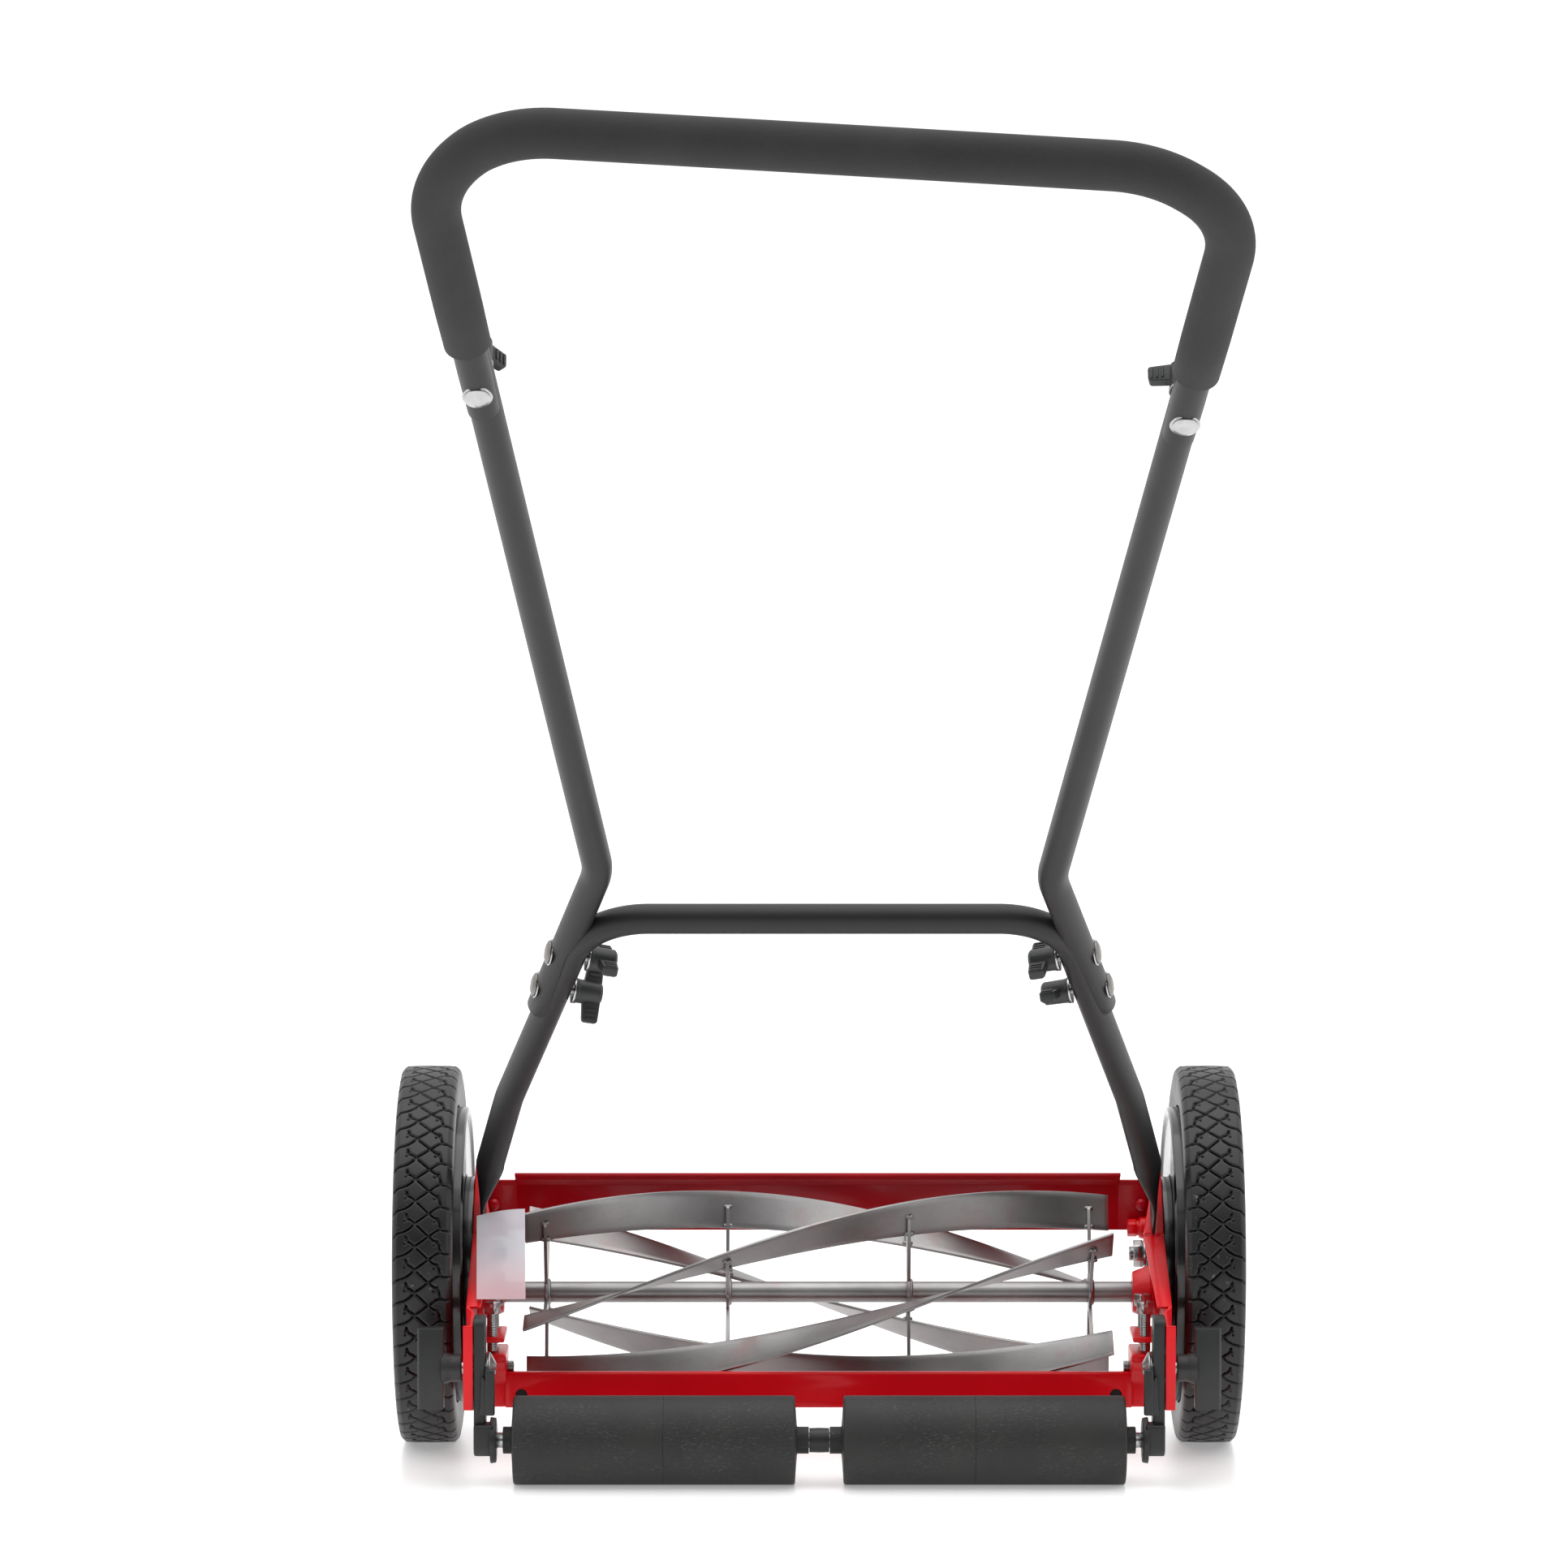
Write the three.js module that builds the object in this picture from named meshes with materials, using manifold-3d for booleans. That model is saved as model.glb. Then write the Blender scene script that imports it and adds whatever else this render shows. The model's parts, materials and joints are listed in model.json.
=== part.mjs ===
// Push reel mower: a helical reel between two steel side plates, driven by the wheels through
// internal ring gears, with a bed knife, a rear roller and a three-section tube handle.
// Millimetres, +Z up. Forward travel is +Y and +X is the right-hand side seen from behind.
// While a part is being shaped, Y = 0 is the wheel axle and Z = 0 is the ground; at the end
// the whole mower is moved so that the middle of its footprint is the origin.
import * as THREE from 'three';
import { mergeVertices } from 'three/addons/utils/BufferGeometryUtils.js';
import Module from 'manifold-3d';

const wasm = await Module();
wasm.setup();

// Driving dimensions
const GAP = 0.3; // clearance kept between touching pieces
const AXLE_HEIGHT = 127;
const TYRE = { radius: 127, bore: 100, inner: 241.2, outer: 281.2 };
const GEAR = { module: 2.0625, ringTeeth: 40, pinionTeeth: 8, face: 9, inner: 236.6 };
const REEL = { radius: 68, bladeWidth: 25, bladeThickness: 2, halfLength: 196, twist: 129, blades: 5 };
const SHAFT_RADIUS = 7;
const JOURNAL_RADIUS = 4.5;
const SPIDER_PLACES = [-182.6, -60.8, 60.8, 182.6];
const PLATE = { inner: 229, outer: 231, rearInner: 225.5, thickness: 2 };
const TUBE_RADIUS = 9.525;
const TUBE_BORE = 8.3;
const GRIP_RADIUS = 13.6;
const PITCH = 40; // lower handle above the ground, degrees
const SIDE_PITCH = { left: 41.25, right: 38.7 }; // each upper arm has its own play at the joint
const JOINT_REACH = 343; // distance from the axle to the lower handle joint
const NEST = 5; // offset between the centre lines of two nested tubes
const SIDE_PLAY = 2.7; // sideways lean that the handle gains above its first bend
const UPPER_LEAN = 0.02; // lean of the upper handle in its own plane
const BOLT_REACHES = [325, 362];
const UPPER_BOLT_REACH = 926;
const ROLLER = { radius: 29, wall: 3, y: -160, inner: 15.8, split: 101.5, outer: 199.4 };
const CUTTER_PIVOT = { y: -75, z: 63 };
const CLAMP = { y: -156, z: 76 };

const RING_RADIUS = (GEAR.module * GEAR.ringTeeth) / 2;
const PINION_RADIUS = (GEAR.module * GEAR.pinionTeeth) / 2;
const MESH_ANGLE = THREE.MathUtils.degToRad(222.5); // from the axle to the reel, in the YZ plane
const REEL_Y = (RING_RADIUS - PINION_RADIUS) * Math.cos(MESH_ANGLE);
const REEL_Z = AXLE_HEIGHT + (RING_RADIUS - PINION_RADIUS) * Math.sin(MESH_ANGLE);

const finish = (color, roughness, metalness) => ({ color, roughness, metalness });
const FINISHES = {
  redPaint: finish('#cf0a1e', 0.35, 0.0),
  steel: finish('#b9b9b9', 0.3, 1.0),
  zinc: finish('#d8d8d8', 0.25, 1.0),
  tubeCoat: finish('#474747', 0.55, 0.0),
  foam: finish('#3d3d3d', 0.7, 0.0),
  tyre: finish('#353535', 0.75, 0.0),
  blackPlastic: finish('#242424', 0.35, 0.0),
  roller: finish('#2f2f2f', 0.7, 0.0),
};

const mower = new THREE.Group();

// ---------------------------------------------------------------- shaping helpers

// Merge shared corners, drop collapsed triangles and turn the faces outwards.
function sound(geometry) {
  const bare = geometry.clone();
  bare.deleteAttribute('normal');
  bare.deleteAttribute('uv');
  const merged = mergeVertices(bare, 1e-4);
  const place = merged.attributes.position;
  const source = merged.index.array;
  const triangles = [];
  const a = new THREE.Vector3();
  const b = new THREE.Vector3();
  const c = new THREE.Vector3();
  let volume = 0;
  for (let i = 0; i < source.length; i += 3) {
    const [p, q, r] = [source[i], source[i + 1], source[i + 2]];
    if (p === q || q === r || r === p) continue;
    triangles.push([p, q, r]);
    a.fromBufferAttribute(place, p);
    b.fromBufferAttribute(place, q);
    c.fromBufferAttribute(place, r);
    volume += a.dot(b.cross(c));
  }
  if (volume < 0) triangles.forEach((triangle) => triangle.reverse());
  merged.setIndex(triangles.flat());
  merged.computeVertexNormals();
  return merged;
}

function toSolid(geometry) {
  const closed = sound(geometry);
  const vertProperties = Float32Array.from(closed.attributes.position.array);
  const triVerts = Uint32Array.from(closed.index.array);
  return new wasm.Manifold(new wasm.Mesh({ numProp: 3, vertProperties, triVerts }));
}

function toGeometry(solid) {
  const mesh = solid.getMesh();
  const geometry = new THREE.BufferGeometry();
  geometry.setAttribute('position', new THREE.BufferAttribute(mesh.vertProperties, 3));
  geometry.setIndex(new THREE.BufferAttribute(mesh.triVerts, 1));
  geometry.computeVertexNormals();
  return geometry;
}

function join(...geometries) {
  return toGeometry(geometries.map(toSolid).reduce((whole, piece) => whole.add(piece)));
}

function cut(geometry, ...tools) {
  return toGeometry(tools.map(toSolid).reduce((left, tool) => left.subtract(tool), toSolid(geometry)));
}

function common(first, second) {
  return toGeometry(toSolid(first).intersect(toSolid(second)));
}

function block([x0, x1], [y0, y1], [z0, z1]) {
  const box = new THREE.BoxGeometry(x1 - x0, y1 - y0, z1 - z0);
  return box.translate((x0 + x1) / 2, (y0 + y1) / 2, (z0 + z1) / 2);
}

// Spin a profile of [radius, x] points about the X axis.
function turned(profile, segments) {
  const points = profile.map(([radius, x]) => new THREE.Vector2(radius, x));
  return new THREE.LatheGeometry(points, segments).rotateZ(-Math.PI / 2);
}

// A round bar along X.
function rod(radius, x0, x1, segments = 16) {
  return turned([[0, x0], [radius, x0], [radius, x1], [0, x1]], segments);
}

// Push a [y, z] outline along X.
function slabX(outline, x0, x1) {
  const shape = new THREE.Shape(outline.map(([y, z]) => new THREE.Vector2(y, z)));
  const slab = new THREE.ExtrudeGeometry(shape, { depth: x1 - x0, bevelEnabled: false });
  return slab.rotateY(Math.PI / 2).rotateX(Math.PI / 2).translate(x0, 0, 0);
}

// Push an [x, y] outline upwards.
function slabZ(outline, z0, z1) {
  const shape = new THREE.Shape(outline.map(([x, y]) => new THREE.Vector2(x, y)));
  const slab = new THREE.ExtrudeGeometry(shape, { depth: z1 - z0, bevelEnabled: false });
  return slab.translate(0, 0, z0);
}

function circle(radius, sides) {
  const turn = (2 * Math.PI) / sides;
  const corner = (i) => new THREE.Vector2(radius * Math.cos(i * turn), radius * Math.sin(i * turn));
  return Array.from({ length: sides }, (_, i) => corner(i));
}

// A run of points that a tube follows, with one section at each point.
class Run extends THREE.Curve {
  constructor(points) {
    super();
    this.points = points;
  }

  getPoint(t, target = new THREE.Vector3()) {
    const place = t * (this.points.length - 1);
    const index = Math.min(Math.floor(place), this.points.length - 2);
    return target.lerpVectors(this.points[index], this.points[index + 1], place - index);
  }

  getTangent(t, target = new THREE.Vector3()) {
    const last = this.points.length - 1;
    const index = Math.round(t * last);
    const from = Math.max(index - 1, 0);
    const to = Math.min(index + 1, last);
    const arriving = this.points[Math.max(index, 1)].clone().sub(this.points[from]).normalize();
    const leaving = this.points[to].clone().sub(this.points[Math.min(index, last - 1)]).normalize();
    return target.addVectors(arriving, leaving).normalize();
  }

  getUtoTmapping(u) {
    return u;
  }
}

function pipe(points, outer, bore, sides = 8) {
  const shape = new THREE.Shape(circle(outer, sides));
  if (bore > 0) shape.holes.push(new THREE.Path(circle(bore, sides)));
  const extrudePath = new Run(points);
  return new THREE.ExtrudeGeometry(shape, { steps: points.length - 1, extrudePath });
}

// Straight runs between corners [x, reach, bend radius], with the bends as arcs.
function bent(corners, stepDegrees = 19) {
  const points = [];
  corners.forEach(([x, reach, radius], i) => {
    const here = new THREE.Vector2(x, reach);
    if (!radius) {
      points.push(here);
      return;
    }
    const back = new THREE.Vector2(corners[i - 1][0], corners[i - 1][1]).sub(here).normalize();
    const ahead = new THREE.Vector2(corners[i + 1][0], corners[i + 1][1]).sub(here).normalize();
    const half = Math.acos(back.dot(ahead)) / 2;
    const middle = back.clone().add(ahead).normalize().multiplyScalar(radius / Math.sin(half));
    const centre = here.clone().add(middle);
    const start = here.clone().addScaledVector(back, radius / Math.tan(half)).sub(centre);
    const end = here.clone().addScaledVector(ahead, radius / Math.tan(half)).sub(centre);
    const turn = Math.atan2(start.cross(end), start.dot(end));
    const steps = Math.max(2, Math.ceil(Math.abs(THREE.MathUtils.radToDeg(turn)) / stepDegrees));
    for (let k = 0; k <= steps; k += 1) {
      points.push(start.clone().rotateAround(new THREE.Vector2(), (turn * k) / steps).add(centre));
    }
  });
  return points;
}

function mirrored(geometry) {
  return sound(geometry.clone().scale(-1, 1, 1));
}

function add(name, geometry, look) {
  const mesh = new THREE.Mesh(sound(geometry), new THREE.MeshStandardMaterial(FINISHES[look]));
  mesh.name = name;
  mower.add(mesh);
}

// A piece shaped on the right-hand side, and its mirror image on the left.
function addPair(name, geometry, look) {
  add(`${name}_left`, mirrored(geometry), look);
  add(`${name}_right`, geometry, look);
}

// ---------------------------------------------------------------- wheels

const wheelSegments = 28;

function tyre() {
  const { radius, bore, inner, outer } = TYRE;
  const shoulder = 5;
  const profile = [
    [bore, inner + 2], [radius - 9, inner], [radius - 1.5, inner + shoulder], [radius, inner + 12],
    [radius, outer - 12], [radius - 1.5, outer - shoulder], [radius - 9, outer], [bore, outer - 2],
    [bore, inner + 2],
  ];
  return turned(profile, 40);
}

// Straight-sided gear teeth: [angle, radius] corners for each tooth, rootward and tipward.
function toothOutline(teeth, root, tip, rootShare, tipShare, phase) {
  const pitch = (2 * Math.PI) / teeth;
  const corners = [[-rootShare / 2, root], [-tipShare / 2, tip], [tipShare / 2, tip], [rootShare / 2, root]];
  const outline = [];
  for (let i = 0; i < teeth; i += 1) {
    corners.forEach(([share, radius]) => {
      const angle = MESH_ANGLE + (i + phase + share) * pitch;
      outline.push([radius * Math.cos(angle), radius * Math.sin(angle)]);
    });
  }
  return outline;
}

function wheelDisc() {
  const hub = 16;
  const rim = 95;
  const web = { inner: 252, outer: 256 };
  const rimOuter = TYRE.bore - 0.8;
  const drum = RING_RADIUS + 6.2;
  const pocket = { inner: 53.5, outer: 56 }; // wall of the pocket that the gear cover sits in
  const face = { inner: 237.7, outer: 240.2 }; // the flat web outside the pocket
  const profile = [
    [8.5, 240], [hub, 240], [hub, web.inner], [pocket.inner, web.inner], [pocket.inner, face.inner],
    [rim, face.inner], [rim, 235.7], [rimOuter, 236.7], [rimOuter, 276.7], [rim, 276.7], [rim, face.outer],
    [pocket.outer, face.outer], [pocket.outer, web.outer], [hub, web.outer], [hub, 266], [8.5, 266],
    [8.5, 240],
  ];
  const teeth = toothOutline(GEAR.ringTeeth, RING_RADIUS + 1.6, RING_RADIUS - 1.2, 0.52, 0.22, 0.5);
  const drumSolid = rod(drum, GEAR.inner, web.inner + 1, wheelSegments);
  const space = slabX(teeth, GEAR.inner - 1, web.inner + 2);
  const ringGear = cut(drumSolid, space);
  return join(turned(profile, wheelSegments), ringGear);
}

function hubCap() {
  const profile = [
    [0, 272], [14, 271], [22, 264], [22, 258.5], [19, 258.5], [19, 264], [12.6, 269], [0, 269.5],
  ];
  return turned(profile, 16);
}

function pinion() {
  const teeth = toothOutline(GEAR.pinionTeeth, PINION_RADIUS - 1.7, PINION_RADIUS + 1.2, 0.5, 0.2, 0);
  const blank = slabX(teeth, GEAR.inner, GEAR.inner + GEAR.face);
  return cut(blank, rod(JOURNAL_RADIUS + 0.4, GEAR.inner - 1, GEAR.inner + GEAR.face + 1, 12));
}

const atAxle = (geometry) => geometry.translate(0, 0, AXLE_HEIGHT);
const atReel = (geometry) => geometry.translate(0, REEL_Y, REEL_Z);

addPair('tyre', atAxle(tyre()), 'tyre');
addPair('wheel_disc', atAxle(wheelDisc()), 'blackPlastic');
addPair('hub_cap', atAxle(hubCap()), 'blackPlastic');
addPair('pinion', atReel(pinion()), 'zinc');

// ---------------------------------------------------------------- wheel axles and gear covers

function axleStud() {
  const pivot = 5;
  const journal = 8;
  const profile = [
    [0, 209.5], [4, 209.5], [4, 212.5], [8.6, 212.5], [10.5, 221.5], [pivot, 221.5], [pivot, 226.3],
    [journal, 226.3], [journal, 266.3], [12, 266.3], [12, 268], [0, 268],
  ];
  return turned(profile, 10);
}

function gearCover() {
  const radius = 52;
  const back = PLATE.outer + GAP;
  const profile = [
    [8.6, back], [radius, back], [radius, 238], [radius - 2, 238], [radius - 2, back + 2],
    [8.6, back + 2], [8.6, back],
  ];
  return cut(turned(profile, 24), atReelFromAxle(rod(8, back - 1, back + 3, 10)));
}

function atReelFromAxle(geometry) {
  return geometry.translate(0, REEL_Y, REEL_Z - AXLE_HEIGHT);
}

addPair('axle_stud', atAxle(axleStud()), 'zinc');
addPair('gear_cover', atAxle(gearCover()), 'blackPlastic');

// ---------------------------------------------------------------- side plates

const RIM_TOP = { y: -46, z: 146.6 };
const RIM_END = { y: -139, z: 113.5 };

function screwPlace(y) {
  return { x: 216.5, y };
}

const SCREWS = { rear: screwPlace(-90), front: screwPlace(-58) };

// The rim is bent inwards along the upper rear edge and narrows towards the rear.
function plateRim() {
  const length = Math.hypot(RIM_END.y - RIM_TOP.y, RIM_END.z - RIM_TOP.z);
  const slope = Math.atan2(RIM_END.z - RIM_TOP.z, -(RIM_END.y - RIM_TOP.y));
  const outline = [[PLATE.outer, 0], [217, 0], [221.5, -length], [PLATE.outer, -length]];
  const strip = slabZ(outline, -PLATE.thickness, 0).rotateX(-slope);
  return strip.translate(0, RIM_TOP.y, RIM_TOP.z);
}

function sidePlate() {
  const outline = [
    [-46, 146.6], [-14, 182], [-4, 188], [26, 188], [40, 180], [72, 152], [72, 124], [56, 96],
    [18, 52], [-6, 44], [-120, 44], [-168, 50], [-168, 105.5], [-150, 109.5], [-139, 113.5],
  ];
  const { inner, outer, rearInner, thickness } = PLATE;
  const plan = [
    [inner, 80], [outer, 80], [outer, -139], [rearInner + thickness, -145], [rearInner + thickness, -166],
    [231.5, -166], [231.5, -168], [rearInner, -168], [rearInner, -146], [inner, -140],
  ];
  const sheet = common(slabZ(plan, 30, 200), slabX(outline, 200, 250));
  const tab = block([208, 230], [-98, -50], [84, 86]);
  const blank = join(sheet, plateRim(), tab);
  const through = (radius, y, z) => rod(radius, 200, 250, 10).translate(0, y, z);
  const screwHole = ({ x, y }) => rod(3.7, 80, 90, 8).rotateY(-Math.PI / 2).translate(x, y, 0);
  return cut(
    blank,
    through(8.5, 0, AXLE_HEIGHT),
    through(8.5, REEL_Y, REEL_Z),
    through(4.5, CLAMP.y, CLAMP.z),
    through(3.5, 50, 137),
    through(4.5, CUTTER_PIVOT.y, CUTTER_PIVOT.z),
    screwHole(SCREWS.rear),
    screwHole(SCREWS.front),
  );
}

addPair('side_plate', sidePlate(), 'redPaint');

// ---------------------------------------------------------------- front plate and its bolts

function frontPlate() {
  const section = [
      [60, 134], [62, 134], [60, 166], [57, 171],
      [48, 175], [47, 173.4], [55.6, 169.6], [58, 165.5],
    ];
  const shoulder = [[60, 134], [62, 134], [60, 166], [58, 170], [56.4, 169.4], [58, 165.5]];
  const halfWidth = 228.6;
  const ear = (x0, x1) => block([x0, x1], [40, 60.5], [128, 166]);
  const boltHole = rod(3.5, -240, 240, 12).translate(0, 50, 137);
  const plate = join(
    slabX(section, -207, 207),
    slabX(shoulder, -halfWidth, halfWidth),
    ear(-halfWidth, 2 - halfWidth),
    ear(halfWidth - 2, halfWidth),
  );
  return cut(plate, boltHole);
}

function tieBolt() {
  const profile = [
    [0, 213], [5.6, 213], [5.6, 218.5], [7.5, 218.5], [7.5, 226.3], [3, 226.3], [3, 231], [0, 231],
  ];
  return turned(profile, 8).translate(0, 50, 137);
}

add('front_plate', frontPlate(), 'redPaint');
addPair('tie_bolt', tieBolt(), 'redPaint');

// ---------------------------------------------------------------- reel

function reelBearing() {
  const seat = PLATE.inner - GAP;
  const profile = [[7.6, 211], [14.6, 211], [15.6, 214], [17.6, seat], [7.6, seat], [7.6, 211]];
  return turned(profile, 16);
}

// Angle of a blade at a place along the reel, in degrees above the rear horizontal.
function bladeAngle(number, x) {
  const startAngle = -13;
  const along = (x + REEL.halfLength) / (2 * REEL.halfLength);
  return startAngle + number * (360 / REEL.blades) + REEL.twist * along;
}

// A local [outward, sideways] place at a blade angle, in the YZ plane of the reel.
function reelPlace(angleDegrees, outward, sideways) {
  const angle = THREE.MathUtils.degToRad(angleDegrees);
  const y = -outward * Math.cos(angle) + sideways * Math.sin(angle);
  const z = outward * Math.sin(angle) + sideways * Math.cos(angle);
  return [y, z];
}

function blade(number) {
  const { radius, bladeWidth, bladeThickness, halfLength } = REEL;
  const strip = new THREE.BoxGeometry(2 * halfLength, bladeThickness, bladeWidth, 24, 1, 1);
  const place = strip.attributes.position;
  for (let i = 0; i < place.count; i += 1) {
    const x = place.getX(i);
    const outward = radius - bladeWidth / 2 + place.getZ(i);
    const [y, z] = reelPlace(bladeAngle(number, x), outward, place.getY(i));
    place.setXYZ(i, x, y, z);
  }
  return strip;
}

// Five arms, each lying against the lower face of its blade.
function spider(x) {
  const face = -REEL.bladeThickness / 2 - 2.5 * GAP; // clear of the blade's twist across the arm
  const arm = [[0, -9], [58, -9], [58, face], [0, face]];
  const pieces = [rod(15, x - 1, x + 1, 10)];
  for (let number = 0; number < REEL.blades; number += 1) {
    const outline = arm.map(([outward, sideways]) => reelPlace(bladeAngle(number, x), outward, sideways));
    pieces.push(slabX(outline, x - 1, x + 1));
  }
  return join(...pieces);
}

function reelCore() {
  const journalStart = 229;
  const end = GEAR.inner + GEAR.face + 1.5;
  const profile = [
    [0, -end], [JOURNAL_RADIUS, -end], [JOURNAL_RADIUS, -journalStart], [SHAFT_RADIUS, -journalStart],
    [SHAFT_RADIUS, journalStart], [JOURNAL_RADIUS, journalStart], [JOURNAL_RADIUS, end], [0, end],
  ];
  return join(turned(profile, 12), ...SPIDER_PLACES.map(spider));
}

addPair('reel_bearing', atReel(reelBearing()), 'redPaint');
add('reel_core', atReel(reelCore()), 'steel');
for (let number = 0; number < REEL.blades; number += 1) {
  add(`reel_blade_${number + 1}`, atReel(blade(number)), 'steel');
}

// ---------------------------------------------------------------- cutter bar, bed knife, screws

const LUG = { inner: 207, outer: 220.5, top: 74.5 };

function cutterBar() {
  const channel = [
    [-82, 37], [-81, 36], [-62, 36], [-62, 38], [-80, 38], [-80, 58], [-77, 58], [-77, 60],
    [-80.5, 60], [-82, 58.5],
  ];
  const lug = [
    [-82, 36], [-66, 36], [-62, 46], [-60, 60], [-52, 68], [-52, LUG.top], [-97, LUG.top],
    [-97, 69], [-88, 62], [-82, 52],
  ];
  const boltHole = rod(4.5, -250, 250, 8).translate(0, CUTTER_PIVOT.y, CUTTER_PIVOT.z);
  const mountHole = (x) => rod(3.4, -90, -76, 8).rotateZ(Math.PI / 2).translate(x, 0, 45);
  const bar = join(
    slabX(channel, -LUG.inner - 1, LUG.inner + 1),
    slabX(lug, LUG.inner, LUG.outer),
    slabX(lug, -LUG.outer, -LUG.inner),
  );
  return cut(bar, boltHole, mountHole(-197.5), mountHole(197.5));
}

function bedKnife() {
  const section = [[-79, 38.4], [-64, 38.4], [-59.4, 44.8], [-59.8, 45.2], [-66, 41.4], [-79, 41.4]];
  return slabX(section, -200, 200);
}

function pivotBolt() {
  const face = LUG.outer + GAP;
  const profile = [
    [0, 202.5], [4, 202.5], [4, face], [10, face], [7, PLATE.inner - GAP], [4, PLATE.inner - GAP],
    [4, 231], [0, 231],
  ];
  return turned(profile, 10).translate(0, CUTTER_PIVOT.y, CUTTER_PIVOT.z);
}

function adjustingScrew({ x, y }) {
  const tip = LUG.top + 1;
  const profile = [[0, tip], [3.3, tip], [3.3, 101], [5.4, 101], [5.4, 109], [0, 109]];
  return turned(profile, 8).rotateY(-Math.PI / 2).translate(x, y, 0);
}

add('cutter_bar', cutterBar(), 'redPaint');
add('bed_knife', bedKnife(), 'steel');
addPair('pivot_bolt', pivotBolt(), 'zinc');
addPair('adjusting_screw_rear', adjustingScrew(SCREWS.rear), 'zinc');
addPair('adjusting_screw_front', adjustingScrew(SCREWS.front), 'zinc');

// ---------------------------------------------------------------- rear roller and its height clamps

function rollerBracket() {
  const inner = 211;
  const outer = PLATE.rearInner - GAP;
  const arm = [[-171, 36], [-143, 36], [-143, 106], [-147, 110], [-167, 110], [-171, 106]];
  const slot = [[-160.3, 46], [-151.7, 46], [-151.7, 102], [-160.3, 102]];
  const foot = rod(16, inner, outer, 16).translate(0, ROLLER.y, ROLLER.radius);
  const neck = slabX([[-171, 30], [-147, 30], [-143, 40], [-171, 40]], 214, outer);
  const axleHole = rod(5.5, 200, 230, 10).translate(0, ROLLER.y, ROLLER.radius);
  return cut(join(slabX(arm, 217, outer), neck, foot), slabX(slot, 200, 230), axleHole);
}

function clampKnob() {
  const stem = rod(9.5, 233, 246, 12).translate(0, CLAMP.y, CLAMP.z);
  const bolt = join(
    rod(4, 215, 240, 8).translate(0, CLAMP.y, CLAMP.z),
    turned([[0, 211.5], [5, 212.2], [8, 214.5], [8, 216.7], [0, 216.7]], 10).translate(0, CLAMP.y, CLAMP.z),
  );
  const paddle = slabZ([[245, -8], [260, -8], [262, -6], [262, 6], [260, 8], [245, 8]], -26.5, 26.5);
  return join(stem, bolt, paddle.translate(0, CLAMP.y, CLAMP.z));
}

function rollerAxle() {
  const profile = [
    [0, -222], [5, -222], [5, -6.4], [8, -6.4], [8, 6.4], [5, 6.4], [5, 222], [0, 222],
  ];
  return turned(profile, 10);
}

// A hollow roller with a bush at one end; the profile runs from the bush end to the far end.
function rollerSegment(bushEnd, near, far) {
  const { radius, wall } = ROLLER;
  const bore = 5.6;
  const inward = Math.sign(far - near);
  const nearWall = near + inward * wall;
  const farWall = far - inward * wall;
  const profile = [
    [bore, bushEnd], [9, bushEnd], [9, near], [radius, near], [radius, far], [bore, far],
    [bore, farWall], [radius - wall, farWall], [radius - wall, nearWall], [bore, nearWall], [bore, bushEnd],
  ];
  return turned(profile, 16);
}

const atRoller = (geometry) => geometry.translate(0, ROLLER.y, ROLLER.radius);

addPair('roller_bracket', rollerBracket(), 'blackPlastic');
add('roller_axle', atRoller(rollerAxle()), 'zinc');
addPair('roller_outer', atRoller(rollerSegment(206.3, ROLLER.outer, ROLLER.split + GAP)), 'roller');
addPair('roller_inner', atRoller(rollerSegment(6.8, ROLLER.inner, ROLLER.split - GAP)), 'roller');
addPair('clamp_knob', clampKnob(), 'blackPlastic');

// ---------------------------------------------------------------- handle

// A place on a plane that rises from the joint at the given pitch.
// reach runs up the handle from the axle, rise stands off its upper face.
function onPlane(pitchDegrees, x, reach, rise = 0) {
  const base = THREE.MathUtils.degToRad(PITCH);
  const pitch = THREE.MathUtils.degToRad(pitchDegrees);
  const past = reach - JOINT_REACH;
  const y = -JOINT_REACH * Math.cos(base) - past * Math.cos(pitch) + rise * Math.sin(pitch);
  const z = AXLE_HEIGHT + JOINT_REACH * Math.sin(base) + past * Math.sin(pitch) + rise * Math.cos(pitch);
  const play = SIDE_PLAY * THREE.MathUtils.clamp((reach - PLAY_START) / PLAY_LENGTH, 0, 1);
  return new THREE.Vector3(x + play, y, z);
}

const PLAY_START = 200;
const PLAY_LENGTH = 300;
const lowerPlace = (x, reach, rise = 0) => onPlane(PITCH, x, reach, rise);
const armPitch = (side) => (side < 0 ? SIDE_PITCH.left : SIDE_PITCH.right);

// The upper handle joins both arms, so its pitch changes evenly from one to the other.
function upperPlace(x, reach, rise = 0) {
  const halfSpan = 190;
  const share = THREE.MathUtils.clamp((x / halfSpan + 1) / 2, 0, 1);
  const pitch = THREE.MathUtils.lerp(SIDE_PITCH.left, SIDE_PITCH.right, share);
  return onPlane(pitch, x, reach + UPPER_LEAN * x, rise);
}

// Centre line of the right-hand leg of the lower handle: corners of [x, reach, bend radius].
const LEG = { flatX: 224, flatReach: 70, roundX: 217.2, roundReach: 116 };
const LEG_SLOPE = 0.261;
const LEG_BEND = { x: 201.8, reach: 197, radius: 120 };
const CROSSBAR = { x: 148, reach: 403, radius: 50 };
const ARM_BEND = { x: 140, reach: 452.7, radius: 60 };
const ARM_FLARE = 0.12;
const ARM_START = 300;
const ARM_END = 952;
const legX = (reach) => LEG_BEND.x - LEG_SLOPE * (reach - LEG_BEND.reach);
const flareX = (reach) => ARM_BEND.x + ARM_FLARE * (reach - ARM_BEND.reach);
const nestX = (reach) => legX(reach) + NEST * Math.hypot(1, LEG_SLOPE);

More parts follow.
